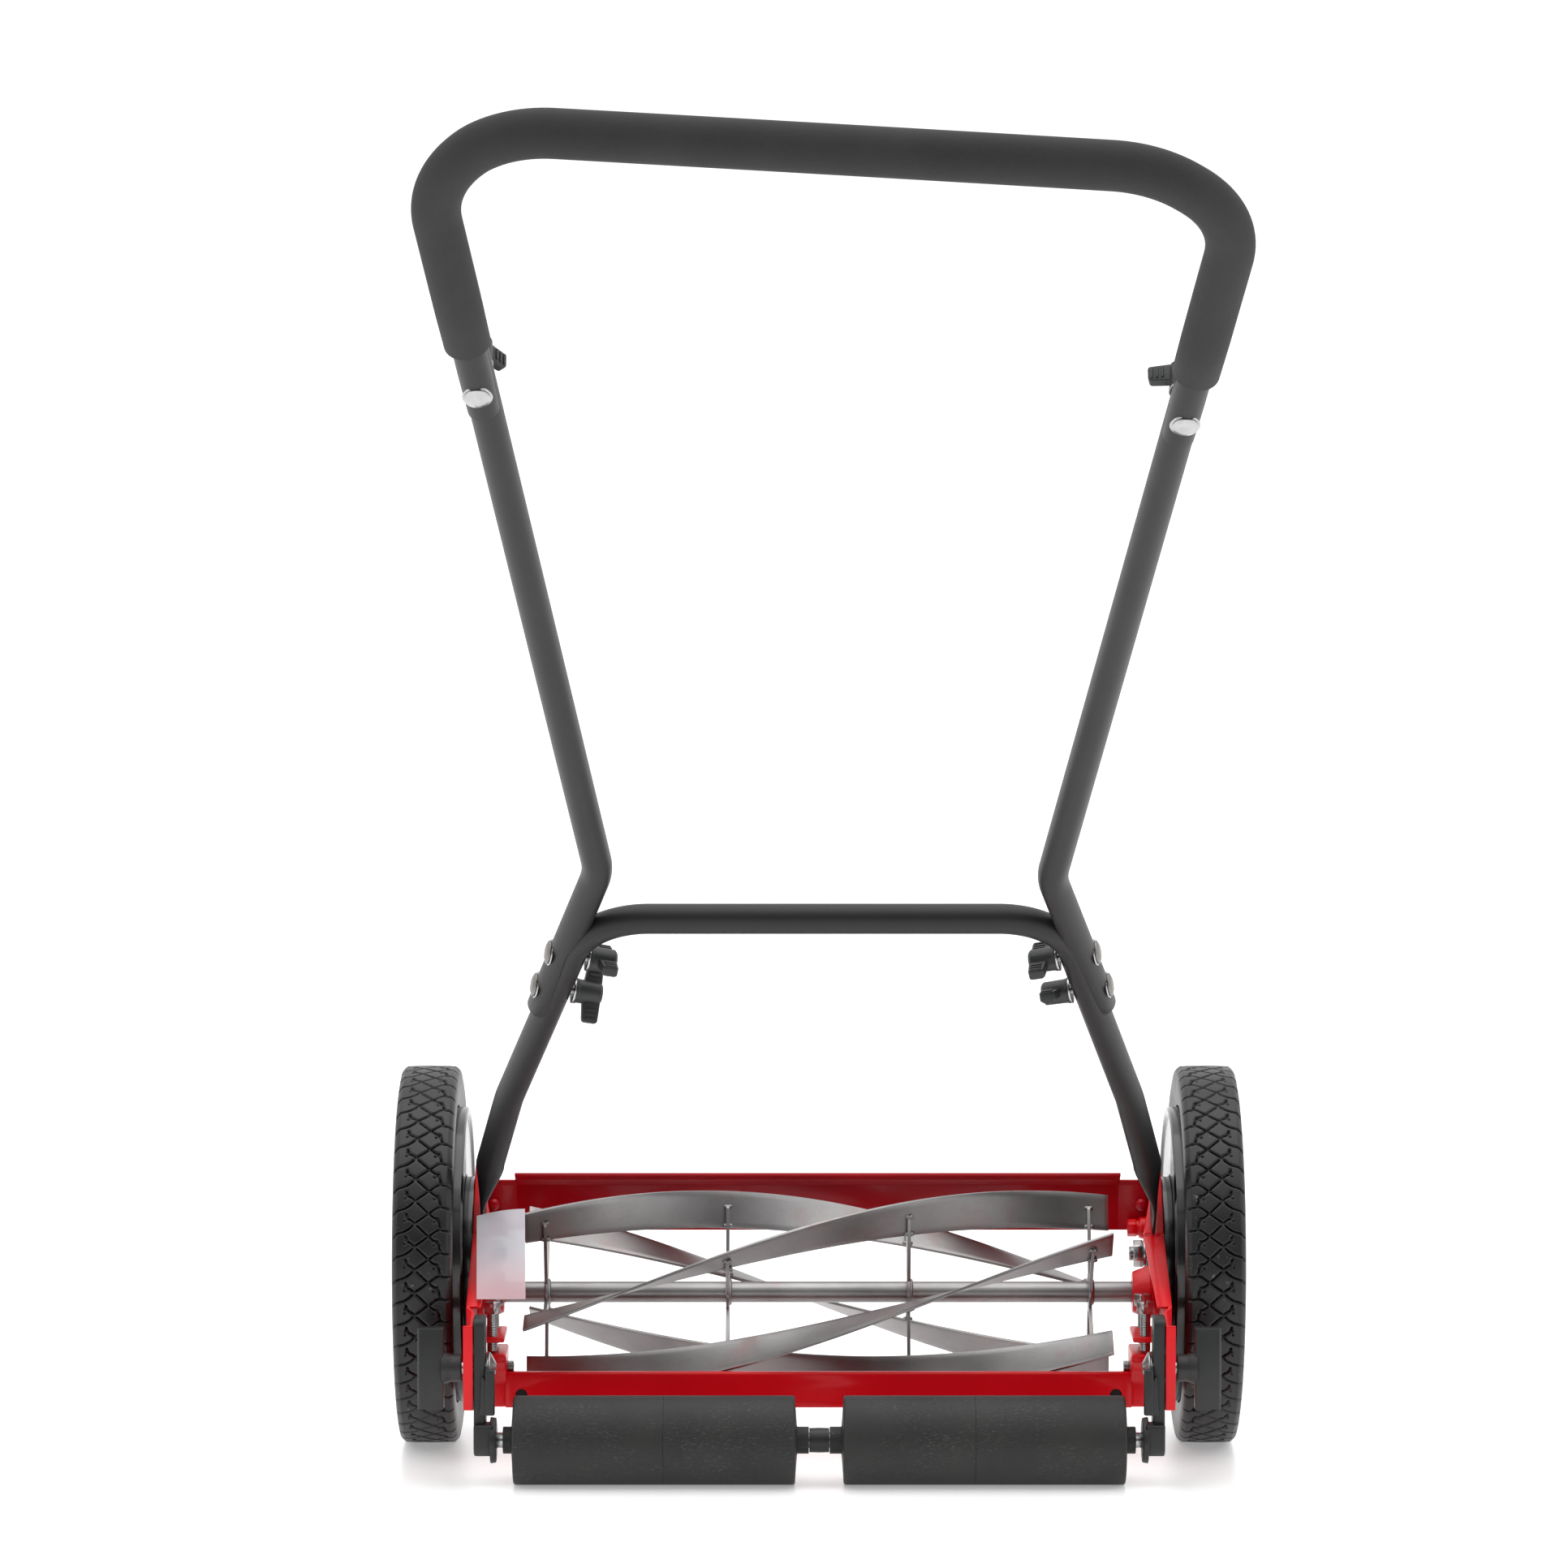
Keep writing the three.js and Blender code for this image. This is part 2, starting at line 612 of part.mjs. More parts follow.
function legRun() {
  const half = [
    [LEG.roundX, LEG.roundReach],
    [LEG_BEND.x, LEG_BEND.reach, LEG_BEND.radius],
    [CROSSBAR.x, CROSSBAR.reach, CROSSBAR.radius],
  ];
  const left = half.map(([x, ...rest]) => [-x, ...rest]);
  return bent([...left, ...half.reverse()]).map(({ x, y }) => lowerPlace(x, y));
}

// The end of the leg is pressed flat round the axle stud: a cylinder reshaped station by station.
function flatEnd(side) {
  const stations = [
    [-13.6, 3], [-9, 10.7], [0, 14], [LEG.flatReach, 14], [93, 12], [120, TUBE_RADIUS],
  ];
  const solid = new THREE.CylinderGeometry(1, 1, stations.length - 1, 8, stations.length - 1);
  const place = solid.attributes.position;
  for (let i = 0; i < place.count; i += 1) {
    const [reach, halfWidth] = stations[Math.round(place.getY(i) + (stations.length - 1) / 2)];
    const swell = THREE.MathUtils.clamp((reach - LEG.flatReach) / (LEG.roundReach - LEG.flatReach), 0, 1);
    const halfThickness = THREE.MathUtils.lerp(1.6, TUBE_RADIUS, swell);
    const middle = THREE.MathUtils.lerp(LEG.flatX, LEG.roundX, swell);
    const x = side * (middle + place.getX(i) * halfThickness);
    place.setXYZ(i, ...lowerPlace(x, reach, place.getZ(i) * halfWidth).toArray());
  }
  return solid;
}

// Bolts of the lower joint lie square to the leg, those of the upper joint square to the handle.
function lowerBoltFrame(side, reach) {
  const centre = lowerPlace(side * legX(reach), reach);
  const outward = lowerPlace(side * (legX(reach) + 1), reach + LEG_SLOPE).sub(centre).normalize();
  const upright = lowerPlace(side * legX(reach), reach, 1).sub(centre);
  return { side, centre, outward, upright };
}

function upperBoltFrame(side) {
  const x = side * flareX(UPPER_BOLT_REACH);
  const centre = upperPlace(x, UPPER_BOLT_REACH);
  const outward = upperPlace(x, UPPER_BOLT_REACH, -1).sub(centre).normalize();
  const upright = upperPlace(x, UPPER_BOLT_REACH + 1).sub(centre);
  return { side, centre, outward, upright };
}

const sides = { left: -1, right: 1 };
const JOINTS = Object.entries(sides).flatMap(([label, side]) => [
  { name: `lower_rear_${label}`, ...lowerBoltFrame(side, BOLT_REACHES[0]) },
  { name: `lower_front_${label}`, ...lowerBoltFrame(side, BOLT_REACHES[1]) },
  { name: `upper_${label}`, ...upperBoltFrame(side) },
]);

// Turn a piece shaped along X so that its +X end points outwards from a joint.
function alongBolt(geometry, { centre, outward }) {
  const turn = new THREE.Quaternion().setFromUnitVectors(new THREE.Vector3(1, 0, 0), outward);
  return geometry.applyQuaternion(turn).translate(centre.x, centre.y, centre.z);
}

// How far each knob was turned when it was tightened, in degrees.
const WING_TURNS = {
  lower_rear_left: 27,
  lower_front_left: -35,
  lower_rear_right: -50,
  lower_front_right: -28,
  upper_left: -42,
  upper_right: -80,
};

// Place a knob shaped along X with its wing along Z on a joint, at the turn it was left at.
function turnedKnob(geometry, { name, side, centre, outward, upright }) {
  const turn = -side * THREE.MathUtils.degToRad(WING_TURNS[name]);
  const square = upright.clone().addScaledVector(outward, -upright.dot(outward)).normalize();
  const across = square.clone().cross(outward);
  const wing = square.multiplyScalar(Math.cos(turn)).addScaledVector(across, Math.sin(turn));
  const width = wing.clone().cross(outward);
  const frame = new THREE.Matrix4().makeBasis(outward, width, wing).setPosition(centre);
  return geometry.applyMatrix4(frame);
}

const boltHoles = () => JOINTS.map((joint) => alongBolt(rod(3.6, -16, 22, 8), joint));

function lowerHandle() {
  const stud = rod(5.6, -250, 250, 8).translate(0, 0, AXLE_HEIGHT);
  const whole = join(pipe(legRun(), TUBE_RADIUS, TUBE_BORE), flatEnd(-1), flatEnd(1));
  return cut(whole, stud, ...boltHoles());
}

// The lower end of each arm is pressed into a cup that lies round the outer face of the leg.
function middleTube(side) {
  const pitch = armPitch(side);
  const place = (x, reach) => onPlane(pitch, side * x, reach);
  const corners = [
    [nestX(ARM_START), ARM_START],
    [ARM_BEND.x, ARM_BEND.reach, ARM_BEND.radius],
    [flareX(ARM_END), ARM_END],
  ];
  const run = bent(corners, 7).map(({ x, y }) => place(x, y));
  const cupTop = 395;
  const cup = [ARM_START, cupTop].map((reach) => place(nestX(reach), reach));
  const legTool = pipe(legRun(), TUBE_RADIUS + GAP, 0);
  const tubes = join(pipe(run, TUBE_RADIUS, TUBE_BORE), pipe(cup, TUBE_RADIUS - 0.01, 0));
  return cut(tubes, legTool, ...boltHoles());
}

const TOP_REACH = 1137;
const TOP_BEND = 66;

function upperRun(start) {
  const right = [[flareX(TOP_REACH), TOP_REACH, TOP_BEND], [flareX(start), start]];
  const left = right.map(([x, ...rest]) => [-x, ...rest]).reverse();
  return bent([...left, ...right]).map(({ x, y }) => upperPlace(x, y, -NEST));
}

function upperHandle() {
  const start = 904;
  const cupTop = 948;
  const cups = Object.values(sides).map((side) => {
    const ends = [start, cupTop].map((reach) => upperPlace(side * flareX(reach), reach, -NEST));
    return pipe(ends, TUBE_RADIUS - 0.01, 0);
  });
  const armTools = Object.values(sides).map((side) => {
    const ends = [800, ARM_END + 2].map((reach) => onPlane(armPitch(side), side * flareX(reach), reach));
    return pipe(ends, TUBE_RADIUS + GAP, 0);
  });
  return cut(join(pipe(upperRun(start), TUBE_RADIUS, TUBE_BORE), ...cups), ...armTools, ...boltHoles());
}

function grip() {
  const start = 958;
  return pipe(upperRun(start), GRIP_RADIUS, TUBE_RADIUS + GAP);
}

function carriageBolt() {
  const profile = [
    [0, 18.6], [8, 15.9], [8, 15.1], [3, 15.1], [3, -10.7], [8.4, -10.7], [8.4, -11.3], [3, -11.3],
    [3, -22], [0, -22],
  ];
  return turned(profile, 8);
}

function wingKnob() {
  const front = -11.6;
  const back = -29;
  const hub = rod(7.6, back, front, 12);
  const wing = block([back + 1, back + 11], [-4, 4], [-19.5, 19.5]);
  return cut(join(hub, wing), rod(3.6, -24, 0, 8));
}

add('lower_handle', lowerHandle(), 'tubeCoat');
add('middle_tube_left', middleTube(-1), 'tubeCoat');
add('middle_tube_right', middleTube(1), 'tubeCoat');
add('upper_handle', upperHandle(), 'tubeCoat');
add('grip', grip(), 'foam');
JOINTS.forEach((joint) => {
  add(`carriage_bolt_${joint.name}`, alongBolt(carriageBolt(), joint), 'zinc');
  add(`wing_knob_${joint.name}`, turnedKnob(wingKnob(), joint), 'blackPlastic');
});

// ---------------------------------------------------------------- origin

// The origin is the middle of the footprint, on the ground.
const bounds = new THREE.Box3().setFromObject(mower, true);
const middle = bounds.getCenter(new THREE.Vector3());
mower.position.set(-middle.x, -middle.y, -bounds.min.z);

export default mower;
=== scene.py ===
import json
import math

import bpy
import numpy as np
from mathutils import Matrix, Vector

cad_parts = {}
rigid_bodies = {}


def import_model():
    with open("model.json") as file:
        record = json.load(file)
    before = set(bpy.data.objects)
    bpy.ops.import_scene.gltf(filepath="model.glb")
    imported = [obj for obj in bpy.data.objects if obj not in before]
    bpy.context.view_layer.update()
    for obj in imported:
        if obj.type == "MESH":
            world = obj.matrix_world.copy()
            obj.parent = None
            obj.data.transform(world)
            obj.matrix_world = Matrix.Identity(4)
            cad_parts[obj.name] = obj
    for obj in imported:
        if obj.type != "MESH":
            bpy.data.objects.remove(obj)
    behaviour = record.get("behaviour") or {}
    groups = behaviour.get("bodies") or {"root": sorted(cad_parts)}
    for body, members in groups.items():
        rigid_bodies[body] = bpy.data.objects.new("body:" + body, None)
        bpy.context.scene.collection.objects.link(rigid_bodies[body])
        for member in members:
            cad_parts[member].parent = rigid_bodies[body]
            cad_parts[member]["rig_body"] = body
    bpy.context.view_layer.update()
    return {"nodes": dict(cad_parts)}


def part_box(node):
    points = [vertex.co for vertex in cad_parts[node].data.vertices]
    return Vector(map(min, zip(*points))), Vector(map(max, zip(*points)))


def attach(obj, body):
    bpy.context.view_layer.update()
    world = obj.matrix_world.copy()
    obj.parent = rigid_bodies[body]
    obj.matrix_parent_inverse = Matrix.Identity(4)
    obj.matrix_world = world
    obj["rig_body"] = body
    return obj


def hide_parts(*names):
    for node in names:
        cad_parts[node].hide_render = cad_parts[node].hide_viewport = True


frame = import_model()

# Everything is shaped in millimetres from the wheel axle line and the ground, then seated in the frame.
axleLow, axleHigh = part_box("tyre_right")
axleY = (axleLow.y + axleHigh.y) / 2
axleZ = 127.0
seatMatrix = Matrix.Translation((0, axleY, 0)) @ Matrix.Scale(0.001, 4)
print("frame loaded, axle at", round(axleY, 4))

# shaping helpers


def deselectAll():
    bpy.ops.object.select_all(action="DESELECT")


def only(piece):
    deselectAll()
    piece.select_set(True)
    bpy.context.view_layer.objects.active = piece


def edit(piece, *steps):
    only(piece)
    bpy.ops.object.mode_set(mode="EDIT")
    bpy.ops.mesh.select_all(action="SELECT")
    for step in steps:
        step()
    bpy.ops.object.mode_set(mode="OBJECT")


def outward():
    bpy.ops.mesh.select_all(action="SELECT")
    bpy.ops.mesh.normals_make_consistent(inside=False)


def weld():
    bpy.ops.mesh.select_all(action="SELECT")
    bpy.ops.mesh.remove_doubles(threshold=0.002)
    bpy.ops.mesh.delete_loose(use_verts=True, use_edges=True, use_faces=False)


def applyModifier(piece, kind, **settings):
    only(piece)
    modifier = piece.modifiers.new(kind.title(), kind)
    for key, value in settings.items():
        setattr(modifier, key, value)
    bpy.ops.object.modifier_apply(modifier=modifier.name)
    return piece


def soften(piece, width, rounds=2, angle=35):
    return applyModifier(piece, "BEVEL", width=width, segments=rounds, limit_method="ANGLE",
                         angle_limit=math.radians(angle), use_clamp_overlap=True)


def cutWith(piece, *tools):
    for tool in tools:
        applyModifier(piece, "BOOLEAN", object=tool, operation="DIFFERENCE", solver="EXACT")
        bpy.data.objects.remove(tool)
    return piece


def joined(name, *parts):
    deselectAll()
    for part in parts:
        part.select_set(True)
    bpy.context.view_layer.objects.active = parts[0]
    if len(parts) > 1:
        bpy.ops.object.join()
    piece = bpy.context.object
    piece.name = name
    piece.data.name = name
    return piece


def copyOf(piece, name, matrix=Matrix()):
    twin = piece.copy()
    twin.data = piece.data.copy()
    twin.name = name
    twin.data.name = name
    bpy.context.scene.collection.objects.link(twin)
    twin.data.transform(matrix)
    if matrix.determinant() < 0:
        edit(twin, outward)
    return twin


def mirrored(piece, name):
    return copyOf(piece, name, Matrix.Diagonal((-1, 1, 1, 1)))


# Corners are (a, b) or (a, b, radius); each is eased with a small curve.
def rounded(corners, radius, steps=3, closed=True):
    result = []
    count = len(corners)
    for i, corner in enumerate(corners):
        here = Vector(corner[:2])
        bend = corner[2] if len(corner) > 2 else radius
        if bend == 0 or (not closed and i in (0, count - 1)):
            result.append(tuple(here))
            continue
        back = Vector(corners[i - 1][:2]) - here
        ahead = Vector(corners[(i + 1) % count][:2]) - here
        half = back.angle(ahead) / 2
        reach = min(bend / math.tan(half), 0.46 * back.length, 0.46 * ahead.length)
        start = here + back.normalized() * reach
        end = here + ahead.normalized() * reach
        for k in range(steps + 1):
            t = k / steps
            result.append(tuple(start * (1 - t) ** 2 + here * 2 * t * (1 - t) + end * t ** 2))
    return result


def outline(name, points, filled):
    deselectAll()
    bpy.ops.mesh.primitive_circle_add(vertices=len(points), fill_type="NGON" if filled else "NOTHING")
    piece = bpy.context.object
    piece.name = name
    piece.data.name = name
    for vertex, point in zip(piece.data.vertices, points):
        vertex.co = point
    return piece


def slab(name, corners, axis, start, end, edge=0.3, rounds=2):
    lay = {"x": lambda a, b: (start, a, b),
           "y": lambda a, b: (a, start, b),
           "z": lambda a, b: (a, b, start)}[axis]
    push = {"x": (end - start, 0, 0), "y": (0, end - start, 0), "z": (0, 0, end - start)}[axis]
    piece = outline(name, [lay(a, b) for a, b in corners], True)
    edit(piece, lambda: bpy.ops.mesh.extrude_region_move(TRANSFORM_OT_translate={"value": push}), outward)
    if edge:
        soften(piece, edge, rounds)
    return piece


# A closed profile of (radius, x) places, turned about a line along X.
def turned(name, profile, steps=64, y=0.0, z=axleZ):
    piece = outline(name, [(x, y + radius, z) for radius, x in profile], False)
    edit(
        piece,
        lambda: bpy.ops.mesh.spin(steps=steps, angle=math.tau, center=(0, y, z), axis=(1, 0, 0)),
        weld,
        lambda: bpy.ops.mesh.dissolve_degenerate(threshold=0.001),
        outward,
    )
    return piece


def ringOutline(radius, count, y=0.0, z=0.0, turn=0.0):
    angles = [turn + math.tau * i / count for i in range(count)]
    return [(y + radius * math.cos(a), z + radius * math.sin(a)) for a in angles]


def drill(radius, start, end, y, z, sides=32):
    return slab("drill", ringOutline(radius, sides, y, z), "x", start, end, 0)


def threadProfile(radius, depth, pitch, start, end):
    count = int((end - start) / pitch)
    points = []
    for i in range(count):
        base = start + i * pitch
        points += [(radius - depth, base), (radius, base + 0.35 * pitch), (radius, base + 0.65 * pitch)]
    return points + [(radius - depth, start + count * pitch)]


# A round bar along a run of places, with its own radius at each place.
def tube(name, places, radii, sides=36):
    deselectAll()
    bpy.ops.curve.primitive_nurbs_path_add()
    piece = bpy.context.object
    piece.name = name
    path = piece.data
    path.splines.clear()
    run = path.splines.new("POLY")
    run.points.add(len(places) - 1)
    for point, place, radius in zip(run.points, places, radii):
        point.co = (*place, 1)
        point.radius = radius
    path.dimensions = "3D"
    path.bevel_depth = 1
    path.bevel_resolution = sides // 2 - 2
    path.use_fill_caps = True
    bpy.ops.object.convert(target="MESH")
    piece = bpy.context.object
    edit(piece, weld, outward)
    return piece


def bodyOf(node):
    return frame["nodes"][node]["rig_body"]


def seat(piece, look, *nodes, body=None, angle=38):
    piece.data.transform(seatMatrix)
    only(piece)
    bpy.ops.object.shade_smooth_by_angle(angle=math.radians(angle))
    piece.data.materials.clear()
    piece.data.materials.append(looks[look].material)
    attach(piece, body or bodyOf(nodes[0]))
    if nodes:
        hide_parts(*nodes)
    return piece


# A right-hand piece and its mirror image, each standing for its own CAD node.
def seatPair(piece, look, node, angle=38):
    left = mirrored(piece, node + "Left")
    piece.name = node + "Right"
    seat(piece, look, node + "_right", angle=angle)
    seat(left, look, node + "_left", angle=angle)


# finishes


class Signal:
    def __init__(self, look, socket):
        self.look = look
        self.socket = socket

    def maths(self, operation, first, second):
        return self.look.add("ShaderNodeMath", {"operation": operation}, {0: first, 1: second})

    def __add__(self, other):
        return self.maths("ADD", self, other)

    def __radd__(self, other):
        return self.maths("ADD", other, self)

    def __mul__(self, other):
        return self.maths("MULTIPLY", self, other)

    def __rmul__(self, other):
        return self.maths("MULTIPLY", other, self)


def sheen(red, green, blue):
    channel = [v / 255 for v in (red, green, blue)]
    linear = [v / 12.92 if v <= 0.04045 else ((v + 0.055) / 1.055) ** 2.4 for v in channel]
    return (*linear, 1)


class Look:
    def __init__(self, name, slot, **constants):
        self.slot = slot
        self.material = bpy.data.materials.new(name)
        self.material.use_nodes = True
        self.tree = self.material.node_tree
        self.shader = self.tree.nodes["Principled BSDF"]
        for key, value in constants.items():
            self.shader.inputs[key.replace("_", " ")].default_value = value
        self.place = self.add("ShaderNodeTexCoord", {}, {}, "Object")

    def feed(self, socket, value):
        if isinstance(value, Signal):
            self.tree.links.new(value.socket, socket)
        else:
            socket.default_value = value

    def add(self, kind, settings, inputs, output=0):
        node = self.tree.nodes.new(kind)
        for key, value in settings.items():
            setattr(node, key, value)
        for key, value in inputs.items():
            self.feed(node.inputs[key], value)
        return Signal(self, node.outputs[output])

    def noise(self, scale, detail=3, stretch=(1, 1, 1), roughness=0.55):
        spot = self.add("ShaderNodeMapping", {}, {"Vector": self.place, "Scale": stretch})
        return self.add("ShaderNodeTexNoise", {}, {"Vector": spot, "Scale": scale, "Detail": detail,
                                                   "Roughness": roughness})

    def steps(self, signal, low, high):
        return self.add("ShaderNodeMapRange", {"clamp": True}, {0: signal, 1: low, 2: high, 3: 0.0, 4: 1.0})

    def mix(self, factor, first, second):
        return self.add("ShaderNodeMix", {"data_type": "RGBA"}, {0: factor, 6: first, 7: second}, 2)

    def bump(self, height, strength, distance):
        relief = self.add("ShaderNodeBump", {}, {"Height": height, "Strength": strength,
                                                 "Distance": distance})
        self.set("Normal", relief)

    def set(self, name, value):
        self.feed(self.shader.inputs[name], value)


looks = {}


def makeTubeCoat(name, dark, pale):
    look = Look(name, "tube_coat", Specular_IOR_Level=0.36)
    grain = look.noise(1500, 2)
    cloud = look.noise(14, 4)
    look.set("Base Color", look.mix(look.steps(cloud, 0.3, 0.7), dark, pale))
    look.set("Roughness", 0.34 + 0.18 * grain)
    look.bump(grain, 0.12, 0.0003)
    return look


def makeFoam():
    look = Look("charcoalFoam", "grip_foam", Specular_IOR_Level=0.25)
    cells = look.noise(2600, 2)
    cloud = look.noise(20, 5)
    shade = look.mix(look.steps(cloud, 0.3, 0.7), sheen(44, 44, 44), sheen(51, 51, 51))
    look.set("Base Color", look.mix(look.steps(cells, 0.55, 0.75), shade, sheen(60, 60, 60)))
    look.set("Roughness", 0.6 + 0.2 * cells)
    look.bump(cells, 0.25, 0.0004)
    return look


def makeTyreRubber():
    look = Look("tyreRubber", "tyre_rubber", Specular_IOR_Level=0.42)
    dust = look.noise(42, 6)
    grain = look.noise(900, 3)
    # The groove depth darkens the rubber to near black inside the grooves: painted shade in the recesses.
    groove = look.add("ShaderNodeAttribute", {"attribute_name": "grooveDepth"}, {}, "Fac")
    face = look.mix(look.steps(dust, 0.35, 0.72), sheen(20, 20, 21), sheen(33, 33, 33))
    speck = look.steps(look.noise(260, 4), 0.66, 0.74) * look.steps(look.noise(30, 3), 0.5, 0.62)
    dusty = look.mix(speck * 0.55, face, sheen(150, 146, 142))
    look.set("Base Color", look.mix(groove, dusty, sheen(6, 6, 6)))
    look.set("Roughness", 0.28 + 0.22 * dust)
    look.bump(grain, 0.12, 0.0003)
    return look


def makeGlossBlack():
    look = Look("glossBlackPlastic", "wheel_plastic", Specular_IOR_Level=0.55, Coat_Roughness=0.06)
    smear = look.noise(30, 5)
    ripple = look.noise(120, 2)
    look.set("Base Color", look.mix(smear, sheen(15, 15, 16), sheen(27, 27, 28)))
    look.set("Roughness", 0.14 + 0.2 * smear)
    look.set("Coat Weight", 0.25 + 0.3 * smear)
    look.bump(ripple, 0.05, 0.0006)
    return look


def makeBlackPlastic():
    look = Look("satinBlackPlastic", "black_plastic", Specular_IOR_Level=0.5)
    grain = look.noise(1100, 3)
    cloud = look.noise(26, 5)
    streak = look.noise(60, 4, (1, 1, 0.12))
    shade = look.mix(look.steps(cloud, 0.3, 0.7), sheen(27, 28, 29), sheen(37, 38, 39))
    look.set("Base Color", look.mix(look.steps(streak, 0.62, 0.8) * 0.4, shade, sheen(62, 62, 62)))
    look.set("Roughness", 0.34 + 0.22 * grain)
    look.bump(grain, 0.22, 0.0004)
    return look


def makeRedPaint(name, dark, pale, gloss):
    look = Look(name, "red_paint", Specular_IOR_Level=gloss, Coat_Roughness=0.09)
    peel = look.noise(260, 2)
    cloud = look.noise(12, 4)
    look.set("Base Color", look.mix(look.steps(cloud, 0.3, 0.7), dark, pale))
    look.set("Roughness", 0.3 + 0.08 * peel)
    look.set("Coat Weight", 0.12 + 0.12 * cloud)
    look.bump(peel, 0.02, 0.0002)
    return look


def makeBladeSteel():
    look = Look("bladeSteel", "blade_steel")
    brushed = look.noise(900, 4, (0.08, 1, 1))
    cloud = look.noise(11, 5)
    stain = look.noise(26, 6, roughness=0.65)
    steel = look.mix(look.steps(cloud, 0.3, 0.7), sheen(128, 126, 126), sheen(166, 164, 164))
    tinted = look.mix(look.steps(stain, 0.55, 0.75) * 0.6, steel, sheen(150, 120, 117))
    look.set("Base Color", look.mix(look.steps(brushed, 0.6, 0.8) * 0.35, tinted, sheen(86, 84, 84)))
    look.set("Metallic", 1.0)
    look.set("Roughness", 0.26 + 0.16 * cloud + 0.1 * brushed)
    look.bump(brushed, 0.06, 0.0004)
    return look


def makeZinc():
    look = Look("brightZinc", "zinc_plate")
    cloud = look.noise(160, 4)
    look.set("Base Color", look.mix(cloud, sheen(146, 146, 148), sheen(200, 200, 200)))
    look.set("Metallic", 1.0)
    look.set("Roughness", 0.12 + 0.18 * cloud)
    look.bump(look.noise(700, 2), 0.06, 0.0004)
    return look


def makeGearSteel():
    look = Look("oiledGearSteel", "gear_steel")
    cloud = look.noise(90, 4)
    look.set("Base Color", look.mix(cloud, sheen(104, 101, 98), sheen(150, 147, 144)))
    look.set("Metallic", 0.9)
    look.set("Roughness", 0.3 + 0.2 * cloud)
    look.bump(look.noise(500, 3), 0.12, 0.0004)
    return look


def makeRollerPlastic():
    look = Look("scuffedRollerPlastic", "roller_plastic", Specular_IOR_Level=0.4)
    cloud = look.noise(24, 6)
    fine = look.noise(1500, 3, (0.2, 1, 1), 0.75)
    patches = look.noise(40, 4, (0.5, 1, 1))
    scratch = look.steps(fine, 0.56, 0.7) * look.steps(patches, 0.38, 0.6)
    grain = look.noise(1500, 2)
    shade = look.mix(look.steps(cloud, 0.3, 0.7), sheen(32, 32, 32), sheen(42, 42, 41))
    look.set("Base Color", look.mix(scratch * 0.4, shade, sheen(120, 118, 116)))
    look.set("Roughness", 0.5 + 0.16 * grain)
    look.bump(grain + scratch, 0.2, 0.0003)
    return look


def makeTagFilm():
    look = Look("milkyTagFilm", "tag_film", Roughness=0.32, Specular_IOR_Level=0.4)
    cloud = look.noise(18, 3)
    place = look.add("ShaderNodeSeparateXYZ", {}, {0: look.place}, "Z")
    upper = look.mix(look.steps(cloud, 0.3, 0.7), sheen(204, 200, 208), sheen(224, 221, 228))
    look.set("Base Color", look.mix(look.steps(place, 0.145, 0.122), upper, sheen(214, 178, 184)))
    look.set("Alpha", 0.74 + 0.1 * cloud)
    look.bump(look.noise(40, 2), 0.12, 0.001)
    return look


looks["tubeCoat"] = makeTubeCoat("charcoalTubeCoat", sheen(30, 30, 31), sheen(37, 37, 38))
# The lower handle gets a darker copy of the same tube coat: painted shade, since the legs catch less of the
# light from above.
looks["paintedShadeLegCoat"] = makeTubeCoat("lowerHandleCoatPaintedShade", sheen(25, 25, 26), sheen(31, 31, 32))
looks["foam"] = makeFoam()
looks["rubber"] = makeTyreRubber()
looks["gloss"] = makeGlossBlack()
looks["plastic"] = makeBlackPlastic()
looks["red"] = makeRedPaint("redPowderCoat", sheen(214, 0, 16), sheen(228, 1, 22), 0.3)
# A darker copy of the red powder coat for the front plate: painted shade, since its rear face gets less light
# than the other red faces.
looks["paintedShadeRed"] = makeRedPaint("frontPlateRedPaintedShade", sheen(164, 0, 18), sheen(182, 1, 26), 0.22)
looks["steel"] = makeBladeSteel()
looks["zinc"] = makeZinc()
looks["gear"] = makeGearSteel()
looks["roller"] = makeRollerPlastic()
looks["film"] = makeTagFilm()
looks["film"].slot = "black_plastic"
print("finishes made:", len(looks))

# camera, lights, floor

view = {"place": (-0.023, -3.876422, 0.790), "tilt": 85.38, "lens": 146.05}
studio = {"floorSize": 400.0, "floorGlow": 0.3, "worldPower": 1.12, "darkest": 0.06, "topPower": 40,
          "sidePower": 10}


def makeCamera():
    bpy.ops.object.camera_add(location=view["place"], rotation=(math.radians(view["tilt"]), 0, 0))
    camera = bpy.context.object
    camera.name = "mainCamera"
    camera.data.lens = view["lens"]
    camera.data.sensor_width = 36
    camera.data.dof.use_dof = False
    camera.data.clip_end = 500
    bpy.context.scene.camera = camera


def makeLight(name, place, aim, size, power):
    bpy.ops.object.light_add(type="AREA", location=place)
    light = bpy.context.object
    light.name = name
    light.rotation_euler = (Vector(aim) - Vector(place)).to_track_quat("-Z", "Y").to_euler()
    light.data.shape = "RECTANGLE"
    light.data.size, light.data.size_y = size
    light.data.energy = power
    light.visible_camera = False


